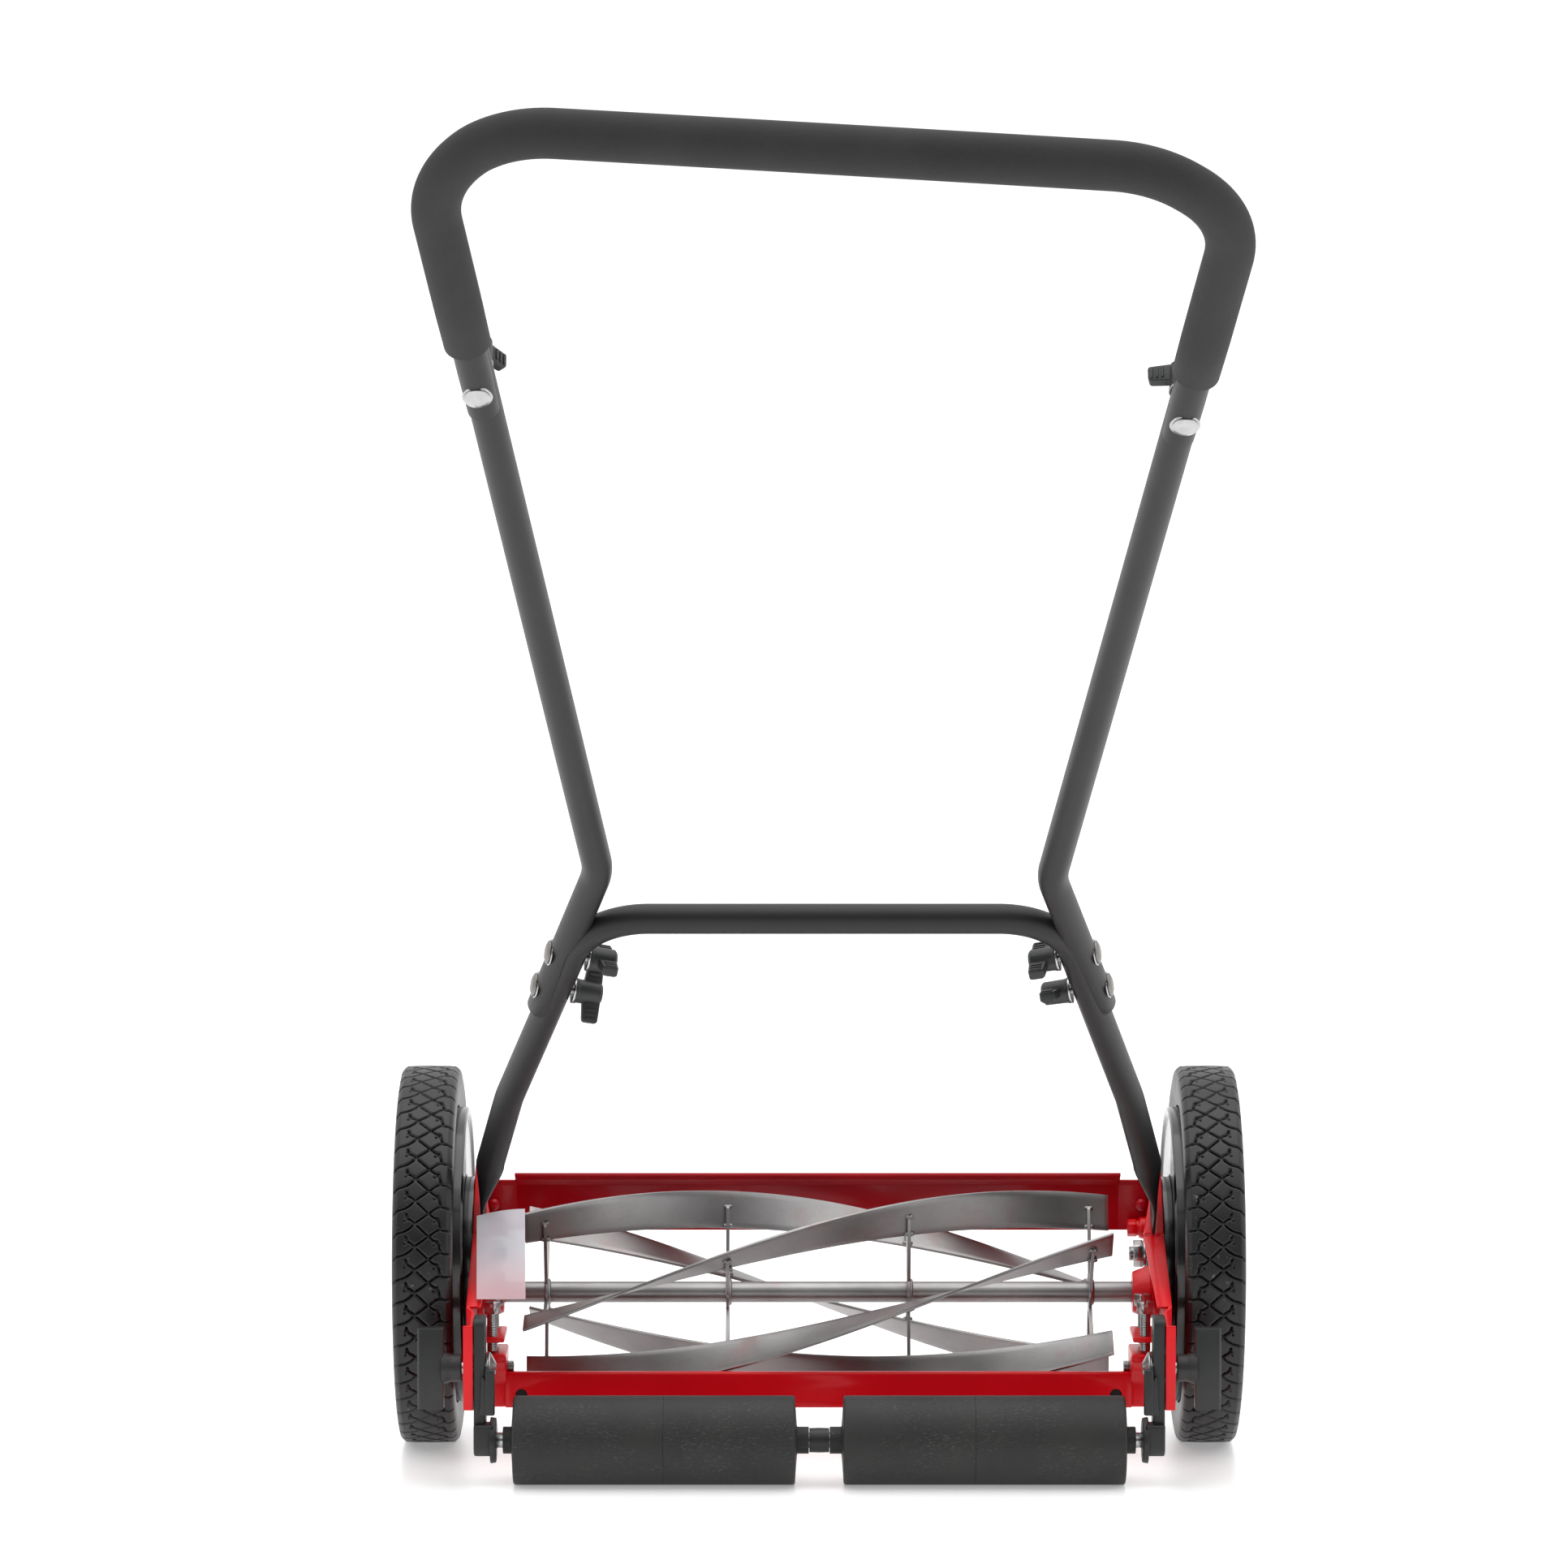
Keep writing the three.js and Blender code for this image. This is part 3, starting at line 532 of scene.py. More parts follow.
def makeWorld():
    world = bpy.data.worlds.new("studioWorld")
    bpy.context.scene.world = world
    world.use_nodes = True
    tree = world.node_tree
    back = tree.nodes["Background"]
    where = tree.nodes.new("ShaderNodeTexCoord")
    split = tree.nodes.new("ShaderNodeSeparateXYZ")
    ramp = tree.nodes.new("ShaderNodeMapRange")  # pale behind and above, greyer on the camera's side
    lift = tree.nodes.new("ShaderNodeMath")
    tree.links.new(where.outputs["Generated"], split.inputs[0])
    lift.operation = "MULTIPLY_ADD"
    tree.links.new(split.outputs["Z"], lift.inputs[0])
    lift.inputs[1].default_value = 1.3
    tree.links.new(split.outputs["Y"], lift.inputs[2])
    tree.links.new(lift.outputs[0], ramp.inputs[0])
    ramp.interpolation_type = "SMOOTHSTEP"
    for index, value in ((1, -0.75), (2, 0.55), (3, studio["darkest"]), (4, studio["worldPower"])):
        ramp.inputs[index].default_value = value
    tree.links.new(ramp.outputs[0], back.inputs["Strength"])
    back.inputs["Color"].default_value = (1, 1, 1, 1)


def makeFloor():
    bpy.ops.mesh.primitive_plane_add(size=studio["floorSize"], location=(0, 0, 0))
    floor = bpy.context.object
    floor.name = "studioFloor"
    look = Look("paleFloor", "floor", Roughness=0.28, Specular_IOR_Level=0.4)
    look.set("Base Color", look.mix(look.noise(3, 3), sheen(247, 247, 247), sheen(250, 250, 250)))
    look.shader.inputs["Emission Color"].default_value = (1, 1, 1, 1)
    look.shader.inputs["Emission Strength"].default_value = studio["floorGlow"]
    floor.data.materials.append(look.material)


makeCamera()
makeWorld()
makeFloor()
makeLight("topLight", (0, 0.2, 3.2), (0, 0.2, 0), (3.2, 3.2), studio["topPower"])
makeLight("leftLight", (-3.0, -1.0, 1.8), (0, 0.2, 0.4), (1.2, 2.4), studio["sidePower"])
makeLight("rightLight", (3.0, -1.0, 1.8), (0, 0.2, 0.4), (1.2, 2.4), studio["sidePower"])
bpy.context.scene.view_settings.view_transform = "Standard"
print("camera, lights and floor placed")

# wheels

tyreSize = {"radius": 127.0, "middle": 261.2, "repeats": 52, "samples": 26, "grooveWidth": 1.25,
            "grooveDepth": 1.7}
# One repeat of the tread: runs of (sideways mm, share of a repeat).
treadRuns = [
    [(-19.0, -0.20), (-16.5, -0.24), (-12.2, -0.29)],
    [(-10.6, -0.28), (-4.6, 0.0), (-2.9, 0.07)],
    [(-1.9, 0.13), (4.4, 0.42)],
    [(5.8, 0.52), (7.8, 0.65), (11.0, 0.78), (14.0, 0.84), (16.5, 0.90), (19.2, 1.14)],
    [(4.4, 0.42), (6.4, 0.30), (8.4, 0.24), (9.0, 0.17), (10.4, 0.16)],
    [(9.0, 0.17), (10.2, -0.02)],
    [(3.2, 0.51), (-4.4, 0.98)],
    [(-5.6, 1.05), (-8.4, 1.19), (-10.9, 1.20), (-10.4, 1.30)],
    [(-10.9, 1.20), (-12.4, 1.63), (-13.2, 1.70)],
]
treadDots = [(10.9, 0.33), (-8.2, 1.38)]


def makeTyre():
    size = tyreSize
    pitch = math.tau * size["radius"] / size["repeats"]
    # (sideways, radius) round the whole section, from the inner bead over the tread to the outer bead
    half = [(18.0, 100.4), (18.4, 104.0), (19.6, 110.0), (20.0, 115.0), (19.9, 118.6), (19.5, 121.2)]
    sideways = list(np.linspace(-19.0, 19.0, 49))
    tread = []
    for u in sideways:
        over = max(0.0, abs(u) - 15.6)
        tread.append((u, 127.0 - 0.0016 * u * u - 0.3 * over ** 1.75))
    section = [(-u, r) for u, r in half] + tread + [(u, r) for u, r in reversed(half)]
    section += [(14.0, 100.0), (5.0, 100.0), (-5.0, 100.0), (-14.0, 100.0)]
    around = size["repeats"] * size["samples"]
    across = len(section)
    deselectAll()
    bpy.ops.mesh.primitive_grid_add(x_subdivisions=across, y_subdivisions=around, size=2)
    piece = bpy.context.object
    count = (across + 1) * (around + 1)
    flat = np.zeros(count * 3)
    piece.data.vertices.foreach_get("co", flat)
    flat = flat.reshape(-1, 3)
    column = np.rint((flat[:, 0] + 1) / 2 * across).astype(int) % across
    row = np.rint((flat[:, 1] + 1) / 2 * around).astype(int) % around
    u = np.array([s[0] for s in section])[column]
    radius = np.array([s[1] for s in section])[column]
    v = (row % size["samples"]) / size["samples"] * pitch
    nearest = np.full(count, 99.0)
    for run in treadRuns + [[dot, (dot[0] + 0.1, dot[1])] for dot in treadDots]:
        for (u0, v0), (u1, v1) in zip(run, run[1:]):
            for shift in (-2, -1, 0, 1):
                a = np.array([u0, (v0 + shift) * pitch])
                b = np.array([u1, (v1 + shift) * pitch])
                step = b - a
                along = np.clip(((u - a[0]) * step[0] + (v - a[1]) * step[1]) / (step @ step), 0, 1)
                gap = np.hypot(u - a[0] - along * step[0], v - a[1] - along * step[1])
                nearest = np.minimum(nearest, gap)
    half = size["grooveWidth"] / 2
    depth = np.clip(1 - (nearest - half * 0.55) / (half * 0.9), 0, 1)
    depth = depth * depth * (3 - 2 * depth) * (radius > 118)
    fade = np.clip((20.2 - np.abs(u)) / 3.0, 0.25, 1)
    radius = radius - size["grooveDepth"] * depth * fade
    ridge = (np.abs(np.abs(u) - 15.9) < 0.45) * (depth < 0.1)
    radius = radius + 0.18 * ridge
    angle = math.tau * row / around
    placed = np.stack([size["middle"] + u, radius * np.cos(angle), axleZ + radius * np.sin(angle)], 1)
    piece.data.vertices.foreach_set("co", placed.reshape(-1))
    # This groove depth also drives the painted shade that darkens the grooves in the rubber finish.
    layer = piece.data.attributes.new("grooveDepth", "FLOAT", "POINT")
    layer.data.foreach_set("value", depth)
    edit(piece, weld, outward)
    return piece


seatPair(makeTyre(), "rubber", "tyre", 60)
print("tyres made")

ringTeeth = 40
pinionTeeth = 8
gearModule = 2.0625
ringRadius = gearModule * ringTeeth / 2
pinionRadius = gearModule * pinionTeeth / 2
meshAngle = math.radians(222.5)
reelY = (ringRadius - pinionRadius) * math.cos(meshAngle)
reelZ = axleZ + (ringRadius - pinionRadius) * math.sin(meshAngle)


def toothOutline(teeth, root, tip, rootShare, tipShare, phase, y, z):
    corners = [(-rootShare / 2, root), (-tipShare / 2, tip), (tipShare / 2, tip), (rootShare / 2, root)]
    points = []
    for tooth in range(teeth):
        for share, radius in corners:
            angle = meshAngle + (tooth + phase + share) * math.tau / teeth
            points.append((y + radius * math.cos(angle), z + radius * math.sin(angle)))
    return rounded(points, 0.25, 1)


wheelSize = {"hub": 16, "rim": 95, "barrel": 99.2, "webInner": 252, "webOuter": 256, "lip": 235.7, "ribs": 8}


def makeWheelDisc():
    size = wheelSize
    profile = rounded([(8.5, 240), (size["hub"], 240), (size["hub"] + 1, size["webInner"], 3),
                       (53.5, size["webInner"], 1), (53.5, 237.7), (93.6, 237.7, 1),
                       (size["rim"], size["lip"] + 0.4), (97.4, size["lip"], 1),
                       (size["barrel"], 236.9, 0.8),
                       (size["barrel"], 276.7), (96.6, 278.1, 1), (size["rim"], 276.7, 1),
                       (size["rim"] - 1, 240.2, 3), (56.5, 240.2, 3), (56, size["webOuter"]),
                       (size["hub"] + 1, size["webOuter"], 3), (size["hub"], 266), (8.5, 266)], 0.6)
    disc = turned("disc", profile, 128)
    drumRadius = ringRadius + 6.2
    drum = slab("drum", ringOutline(drumRadius, 96, 0, axleZ), "x", 236.6, 252.6, 0.5)
    space = slab("space", toothOutline(ringTeeth, ringRadius + 1.6, ringRadius - 1.2, 0.52, 0.22, 0.5, 0,
                                       axleZ), "x", 230, 253.5, 0)
    cutWith(drum, space)
    rib = slab("rib", rounded([(55.6, 239.9, 0), (95.5, 239.9, 0), (95.5, 272, 0), (74, 264, 30),
                               (55.6, 256.5, 0)], 1), "z", -1.5, 1.5, 0.5)
    inner = slab("innerRib", rounded([(15, 255.6, 0), (56.5, 255.6, 0), (56.5, 257, 0), (34, 259, 20),
                                      (15, 264, 0)], 1), "z", -1.3, 1.3, 0.4)
    parts = [disc, drum]
    swap = Matrix(((0, 1, 0, 0), (1, 0, 0, 0), (0, 0, 1, 0), (0, 0, 0, 1)))
    for number in range(size["ribs"]):
        turn = Matrix.Translation((0, 0, axleZ)) @ Matrix.Rotation(math.tau * number / size["ribs"], 4, "X")
        parts.append(copyOf(rib, "rib", turn @ swap))
        parts.append(copyOf(inner, "rib", turn @ swap))
    bpy.data.objects.remove(rib)
    bpy.data.objects.remove(inner)
    return joined("wheelDisc", *parts)


def makeHubCap():
    profile = rounded([(0, 272, 0), (9, 271.8), (10, 270.8), (14, 271.2), (19, 268.2, 3), (22, 262, 2),
                       (22, 258.5), (19, 258.5), (19, 264), (12.6, 269), (0, 269.5, 0)], 0.7)
    return turned("hubCap", profile, 72)


def makeAxleStud():
    profile = [(0, 210.2), (4.2, 210.2)] + threadProfile(5.0, 0.5, 1.0, 210.6, 213)
    profile += rounded([(5, 213.2, 0), (5, 226.3, 0), (8, 226.3), (8, 266.3), (12, 266.3), (12, 268),
                        (0, 268, 0)], 0.4, 2)
    shaft = turned("stud", profile, 40)
    nut = slab("nut", ringOutline(9.4, 6, 0, axleZ, 0.3), "x", 213, 219.6, 0.8)
    washer = turned("washer", rounded([(5, 219.7), (10.4, 219.7), (10.4, 221.6), (5, 221.6)], 0.4, 2), 48)
    return joined("axleStud", shaft, nut, washer)


def makeGearCover():
    profile = rounded([(8.6, 231.3), (52, 231.3), (52, 238.2), (50.2, 238.2), (50.2, 233.3), (8.6, 233.3)],
                      0.5)
    cover = turned("gearCover", profile, 96)
    return cutWith(cover, drill(8, 230, 235, reelY, reelZ))


def makePinion():
    teeth = toothOutline(pinionTeeth, pinionRadius - 1.7, pinionRadius + 1.2, 0.5, 0.2, 0, reelY, reelZ)
    blank = slab("pinion", teeth, "x", 236.6, 245.6, 0.3)
    return cutWith(blank, drill(4.9, 230, 250, reelY, reelZ))


seatPair(makeWheelDisc(), "gloss", "wheel_disc")
seatPair(makeHubCap(), "gloss", "hub_cap")
seatPair(makeAxleStud(), "zinc", "axle_stud")
seatPair(makeGearCover(), "gloss", "gear_cover")
seatPair(makePinion(), "gear", "pinion")
print("wheels, studs and gears made")

# side plates

# y and z of the bolts that go through the plates
clampSpot, pivotSpot, tieSpot = (-156, 76), (-75, 63), (50, 137)
screwX, rearScrewY, frontScrewY = 216.5, -90, -58  # the screws of the cutter bar
holeX, holeZ = 197.5, 45  # the mounting holes of the cutter bar

plateSize = {"inner": 229.0, "outer": 231.0, "joggle": 3.5, "joggleStart": -139.0, "joggleEnd": -146.0}
plateOutline = [(-46, 146.6, 4), (-14, 182, 10), (-4, 188, 8), (26, 188, 8), (40, 180, 8), (72, 152, 5),
                (72, 124, 8), (56, 96, 10), (18, 52, 12), (-6, 44, 8), (-120, 44, 10), (-168, 50, 1),
                (-168, 105.5, 1), (-150, 109.5, 4), (-139, 113.5, 3)]


def makeSidePlate():
    size = plateSize
    inner, outer = size["inner"], size["outer"]
    sheet = slab("sheet", rounded(plateOutline, 4, 4), "x", inner, outer, 0)
    cuts = (size["joggleStart"], size["joggleStart"] - 2, size["joggleEnd"] + 2, size["joggleEnd"])

    def splitAt(y):
        bpy.ops.mesh.select_all(action="SELECT")
        bpy.ops.mesh.bisect(plane_co=(0, y, 0), plane_no=(0, 1, 0))

    edit(sheet, *[lambda y=y: splitAt(y) for y in cuts])
    for vertex in sheet.data.vertices:
        along = min(1, max(0, (cuts[0] - vertex.co.y) / (cuts[0] - cuts[3])))
        vertex.co.x -= size["joggle"] * along * along * (3 - 2 * along)
    clampHole = drill(4.5, 200, 250, *clampSpot)
    holes = [drill(8.5, 200, 250, 0, axleZ), drill(8.5, 200, 250, reelY, reelZ), clampHole,
             drill(3.5, 200, 250, *tieSpot), drill(4.5, 200, 250, *pivotSpot)]
    cutWith(sheet, *holes)
    soften(sheet, 0.5, 2)
    length = math.hypot(93, 33.1)
    slope = math.atan2(-33.1, 93)
    rim = slab("rim", rounded([(230.7, 0, 0), (217, 0, 4), (221.5, -length, 3), (230.7, -length, 0)], 1, 4),
               "z", -2, 0, 0.6, 3)
    rim.data.transform(Matrix.Translation((0, -46, 146.8)) @ Matrix.Rotation(-slope, 4, "X"))
    lip = slab("lip", rounded([(-46.6, 146.9), (-13, 184), (-3, 190, 8), (-3, 186.6, 6), (-11, 180.5),
                               (-42, 146)], 2, 3), "x", 217.6, 230.8, 0.7, 3)
    taper = [(vertex, min(1, max(0, (vertex.co.z - 146) / 42))) for vertex in lip.data.vertices]
    for vertex, rise in taper:
        if vertex.co.x < 225:
            vertex.co.x += 9.5 * rise ** 1.1
    tab = slab("tab", rounded([(230.5, -50, 0), (208, -50, 3), (208, -98, 3), (230.5, -98, 0)], 2, 4), "z",
               82.6, 86, 0.7, 3)
    tab = cutWith(tab, *[slab("hole", [(screwX + 3.8 * math.cos(a), y + 3.6 * math.sin(a))
                                       for a in np.linspace(0, math.tau, 24, False)], "z", 80, 90, 0)
                         for y in (rearScrewY, frontScrewY)])
    flange = slab("flange", rounded([(50, 0), (105.5, 0), (105.5, 5), (50, 5)], 1.0), "x", 225.7, 231.8, 0.0)
    for vertex in flange.data.vertices:
        vertex.co = (vertex.co.x, -168.6 + vertex.co.z * 0.5, vertex.co.y)
    edit(flange, outward)
    soften(flange, 0.9, 3)
    return joined("sidePlate", sheet, rim, lip, tab, flange)


def makeTieBolt():
    head = slab("head", ringOutline(6.3, 6, *tieSpot, 0.5), "x", 211.6, 218.2, 0.9, 3)
    spacer = turned("spacer", rounded([(3, 219.4), (6.6, 219.4), (7.4, 221), (7.4, 226.3), (3, 226.3)], 0.8),
                    40, *tieSpot)
    shank = turned("shank", [(0, 218), (5.4, 218), (5.4, 219.6), (3, 219.6), (3, 231), (0, 231)], 32,
                   *tieSpot)
    return joined("tieBolt", head, spacer, shank)


def makeReelBearing():
    profile = rounded([(7.6, 211), (13.6, 211, 1.2), (15, 214.4, 1.5), (17.6, 222, 4), (17.6, 228.7),
                       (7.6, 228.7)], 0.6, 4)
    cup = turned("cup", profile, 72, reelY, reelZ)
    return cup


seatPair(makeSidePlate(), "red", "side_plate")
seatPair(makeTieBolt(), "red", "tie_bolt")
seatPair(makeReelBearing(), "red", "reel_bearing")
print("side plates made")

frontSize = {"lipHalf": 207.0, "half": 228.6}


def makeFrontPlate():
    size = frontSize
    section = rounded([(60, 134), (62, 134), (60.1, 166, 4), (57, 171, 4), (48, 175.2), (47, 173.4),
                       (55.6, 169.4, 2.5), (58, 165.5, 2)], 0.3, 4)
    shoulder = rounded([(60, 134), (62, 134), (60.1, 165, 3), (58, 169.4, 0.6), (56.6, 168.6), (58, 165)],
                       0.3, 3)
    parts = [slab("lip", section, "x", -size["lipHalf"], size["lipHalf"], 0.35)]
    for side in (-1, 1):
        near, far = side * (size["lipHalf"] - 1), side * size["half"]
        parts.append(slab("shoulder", shoulder, "x", min(near, far), max(near, far), 0.35))
        inner = side * (size["half"] - 2)
        ear = rounded([(40, 128, 4), (60.5, 128, 0), (60.5, 166, 0), (40, 166, 6)], 3, 4)
        parts.append(slab("ear", ear, "x", min(inner, far), max(inner, far), 0.5))
        button = turned("button", rounded([(0, 53.4, 0), (2.4, 53.6), (4.2, 55.6, 1), (4.2, 58.4),
                                           (0, 58.4, 0)], 0.3), 28, 0, 0)
        button.data.transform(Matrix.Translation((side * 221.5, 0, 152))
                              @ Matrix.Rotation(math.radians(90), 4, "Z"))
        parts.append(button)
    plate = joined("frontPlate", *parts)
    return plate


# The front plate wears the darker copy of the red coat, which is painted shade.
seat(makeFrontPlate(), "paintedShadeRed", "front_plate")
print("front plate made")

# reel

reelSize = {"radius": 68.0, "bladeWidth": 25.0, "thickness": 2.0, "half": 196.0, "start": -13.0,
            "twist": 129.0, "blades": 5}
spiderPlaces = (-182.6, -60.8, 60.8, 182.6)


def bladeAngle(number, x):
    size = reelSize
    return (size["start"] + number * 360 / size["blades"]
            + size["twist"] * (x + size["half"]) / (2 * size["half"]))


def reelSpot(degrees, outwards, sideways):
    a = math.radians(degrees)
    return (reelY - outwards * math.cos(a) + sideways * math.sin(a),
            reelZ + outwards * math.sin(a) + sideways * math.cos(a))


def makeBlade(number):
    size = reelSize
    deselectAll()
    bpy.ops.mesh.primitive_grid_add(x_subdivisions=112, y_subdivisions=6, size=2)
    piece = bpy.context.object
    for vertex in piece.data.vertices:
        x = vertex.co.x * size["half"]
        outwards = size["radius"] - size["bladeWidth"] / 2 + vertex.co.y * size["bladeWidth"] / 2
        vertex.co = (x, *reelSpot(bladeAngle(number, x), outwards, 0))
    applyModifier(piece, "SOLIDIFY", thickness=size["thickness"], offset=0)
    edit(piece, outward)
    soften(piece, 0.35, 2, 50)
    return piece


def makeSpider():
    arm = rounded([(4, -7.2), (56, -3.9), (58.5, -2.8), (58.5, -1.5), (4, -1.5)], 0.5, 2)
    arms = []
    for number in range(reelSize["blades"]):
        spots = [reelSpot(number * 72, a, b) for a, b in arm]
        arms.append(slab("arm", spots, "x", -1.15, 1.15, 0.85, 4))
        for outwards, size in ((44.5, (2.2, 1.7)), (57.5, (1.7, 1.4))):
            y, z = reelSpot(number * 72, outwards, -1.6)
            for x in (-1.4, 1.4):
                deselectAll()
                bpy.ops.mesh.primitive_uv_sphere_add(segments=12, ring_count=8, radius=1, location=(x, y, z))
                bead = bpy.context.object
                bead.scale = (size[0], size[1], size[1])
                bpy.ops.object.transform_apply(location=True, rotation=True, scale=True)
                arms.append(bead)
    collar = turned("collar", rounded([(6.8, -1.2), (13.2, -1.2), (13.2, 1.2), (6.8, 1.2)], 0.8), 48, reelY,
                    reelZ)
    bead = turned("bead", rounded([(6.8, 1), (9.4, 1), (8.4, 2.6, 1), (6.8, 3.2)], 0.8), 48, reelY, reelZ)
    return joined("spider", collar, bead, *arms)


def makeReelCore():
    spider = makeSpider()
    copies = []
    about = Matrix.Translation((0, reelY, reelZ))
    for x in spiderPlaces:
        turn = Matrix.Rotation(-math.radians(bladeAngle(0, x)), 4, "X")
        copies.append(copyOf(spider, "spider",
                             Matrix.Translation((x, 0, 0)) @ about @ turn @ about.inverted()))
    bpy.data.objects.remove(spider)
    profile = rounded([(0, -247.1, 0), (4.5, -247.1), (4.5, -229), (7, -229), (7, 229), (4.5, 229),
                       (4.5, 247.1), (0, 247.1, 0)], 0.5)
    shaft = turned("shaft", profile, 48, reelY, reelZ)
    return joined("reelCore", shaft, *copies)


seat(makeReelCore(), "steel", "reel_core", angle=50)
for number in range(reelSize["blades"]):
    blade = makeBlade(number)
    blade.name = "reelBlade" + str(number + 1)
    seat(blade, "steel", "reel_blade_" + str(number + 1), angle=30)
print("reel made")

# cutter bar, bed knife and screws


def makeCutterBar():
    wall = rounded([(-82, 36.2, 1.5), (-62, 36.2), (-62, 38.4), (-79.6, 38.4, 1.2), (-79.6, 57.6, 1.6),
                    (-77.2, 57.8), (-77.2, 60.2), (-82, 60.2, 3.2)], 0.4, 5)
    bar = slab("bar", wall, "x", -208, 208, 0.3)
    lugOutline = rounded([(-81.7, 36.4, 3), (-66, 36.4, 3), (-62, 46), (-60, 58, 4), (-52, 66, 4),
                          (-52, 74.5), (-97, 74.5), (-97, 69, 3), (-88, 62, 6), (-81.7, 54, 6)], 2, 4)
    parts = []
    for side in (-1, 1):
        near, far = side * 207, side * 220.5
        parts.append(slab("lug", lugOutline, "x", min(near, far), max(near, far), 2.2, 4))
    drills = []
    for x in (-holeX, holeX):
        tool = slab("hole", ringOutline(4.0, 32, x, holeZ), "y", -90, -76, 0)
        edit(tool, outward)
        drills.append(tool)
    cutWith(bar, *drills)
    return joined("cutterBar", bar, *parts)


# Dark plastic discs set just behind the cutter bar's mounting holes: painted shade, standing in for the
# darkness seen in the holes.
def makeHoleShadeDisc():
    paintedHoleShade = turned("holeShadeDisc", rounded([(0, 78.2, 0), (5.2, 78.2), (5.2, 79.5), (0, 79.5, 0)], 0.2), 32, 0, 0)
    paintedHoleShade.data.transform(Matrix.Translation((0, 0, holeZ)) @ Matrix.Rotation(math.radians(-90), 4, "Z"))
    return paintedHoleShade


def makeBedKnife():
    section = rounded([(-79, 38.5), (-64, 38.5, 3), (-59.4, 44.8), (-59.9, 45.3), (-66, 41.4, 3),
                       (-79, 41.4)], 0.25, 3)
    knife = slab("knife", section, "x", -200, 200, 0.2)
    rivet = turned("rivet", rounded([(0, 43.4, 0), (3.6, 42.8, 1), (4.4, 41.2), (0, 41.2, 0)], 0.5), 24, 0, 0)
    rivet.data.transform(Matrix.Rotation(math.radians(-90), 4, "Y"))
    parts = [copyOf(rivet, "rivet", Matrix.Translation((x, -71.5, 0))) for x in (-160, -80, 0, 80, 160)]
    bpy.data.objects.remove(rivet)
    return joined("bedKnife", knife, *parts)


def makePivotBolt():
    thread = [(0, 202.5)] + threadProfile(4.0, 0.5, 1.1, 202.6, 207.2) + [(4, 207.3), (4, 220.8), (10, 220.8)]
    dome = rounded([(10, 220.8, 0), (10, 222.2, 0.8), (7, 226.8, 4), (4.5, 228.6, 1), (4.5, 231, 0),
                    (0, 231, 0)], 0.5)
    return turned("pivotBolt", thread + dome, 48, *pivotSpot)


def makeAdjustingScrew(y):
    thread = ([(0, 75.5), (2.4, 75.5)] + threadProfile(3.5, 0.45, 1.15, 76, 100.2)
              + [(3.5, 100.4), (3.5, 101.3), (0, 101.3)])
    shank = turned("shank", thread, 40, 0, 0)
    shank.data.transform(Matrix.Rotation(math.radians(-90), 4, "Y"))
    edit(shank, outward)
    head = slab("head", ringOutline(6.2, 6, 0, 0, 0.26), "z", 101, 109, 0.6)
    slot = slab("slot", [(-1, -9), (1, -9), (1, 9), (-1, 9)], "z", 106, 112, 0)
    cutWith(head, slot)
    screw = joined("adjustingScrew", shank, head)
    screw.data.transform(Matrix.Translation((screwX, y, 0)))
    return screw


seat(makeCutterBar(), "red", "cutter_bar")
# One dark disc per mounting hole, as painted shade in the hole.
paintedHoleShade = makeHoleShadeDisc()
for x in (-holeX, holeX):
    seat(copyOf(paintedHoleShade, "holeShadeDisc", Matrix.Translation((x, 0, 0))), "plastic", body=bodyOf("cutter_bar"))
bpy.data.objects.remove(paintedHoleShade)
seat(makeBedKnife(), "steel", "bed_knife")
seatPair(makePivotBolt(), "zinc", "pivot_bolt")
seatPair(makeAdjustingScrew(rearScrewY), "zinc", "adjusting_screw_rear", 30)
seatPair(makeAdjustingScrew(frontScrewY), "zinc", "adjusting_screw_front", 30)
print("cutter bar made")

# rear roller

rollerSize = {"radius": 29.0, "wall": 3.0, "y": -160.0, "split": 101.5, "inner": 15.8, "outer": 199.4}


def makeBracket():
    arm = slab("arm", rounded([(-167.2, 34, 1), (-143, 34, 3), (-143, 110, 6), (-167.2, 110, 6)], 3, 4), "x",
               217.6, 225.1, 0.8, 3)
    slot = slab("slot", rounded([(-160.3, 46), (-151.7, 46), (-151.7, 102), (-160.3, 102)], 4.2, 5), "x",
                200, 240, 0)
    cutWith(arm, slot)
    foot = slab("foot", rounded([(-172.4, 24, 6), (-168, 19.5, 6), (-152, 19.5, 8), (-144.5, 26, 8),
                                 (-144.5, 39, 6), (-172.4, 41, 2)], 3, 4), "x", 212.4, 225.1, 1.4, 3)
    boss = turned("boss", rounded([(5.4, 210.6), (14.5, 210.6), (15.2, 214.5), (5.4, 214.5)], 0.7), 56,
                  rollerSize["y"], rollerSize["radius"])
    catch = slab("catch", rounded([(-172, 47, 1.5), (-166.5, 47, 1.5), (-166.5, 77.5, 2.6),
                                   (-172, 77.5, 2.6)], 1.4, 4), "x", 211.2, 217.4, 1.2, 4)
    web = slab("web", rounded([(216, 47), (216, 68, 4), (219.5, 74, 3), (221, 47)], 1, 4), "y", -171, -167,
               0.6, 3)
    edit(web, outward)
    return joined("rollerBracket", arm, foot, boss, catch, web)


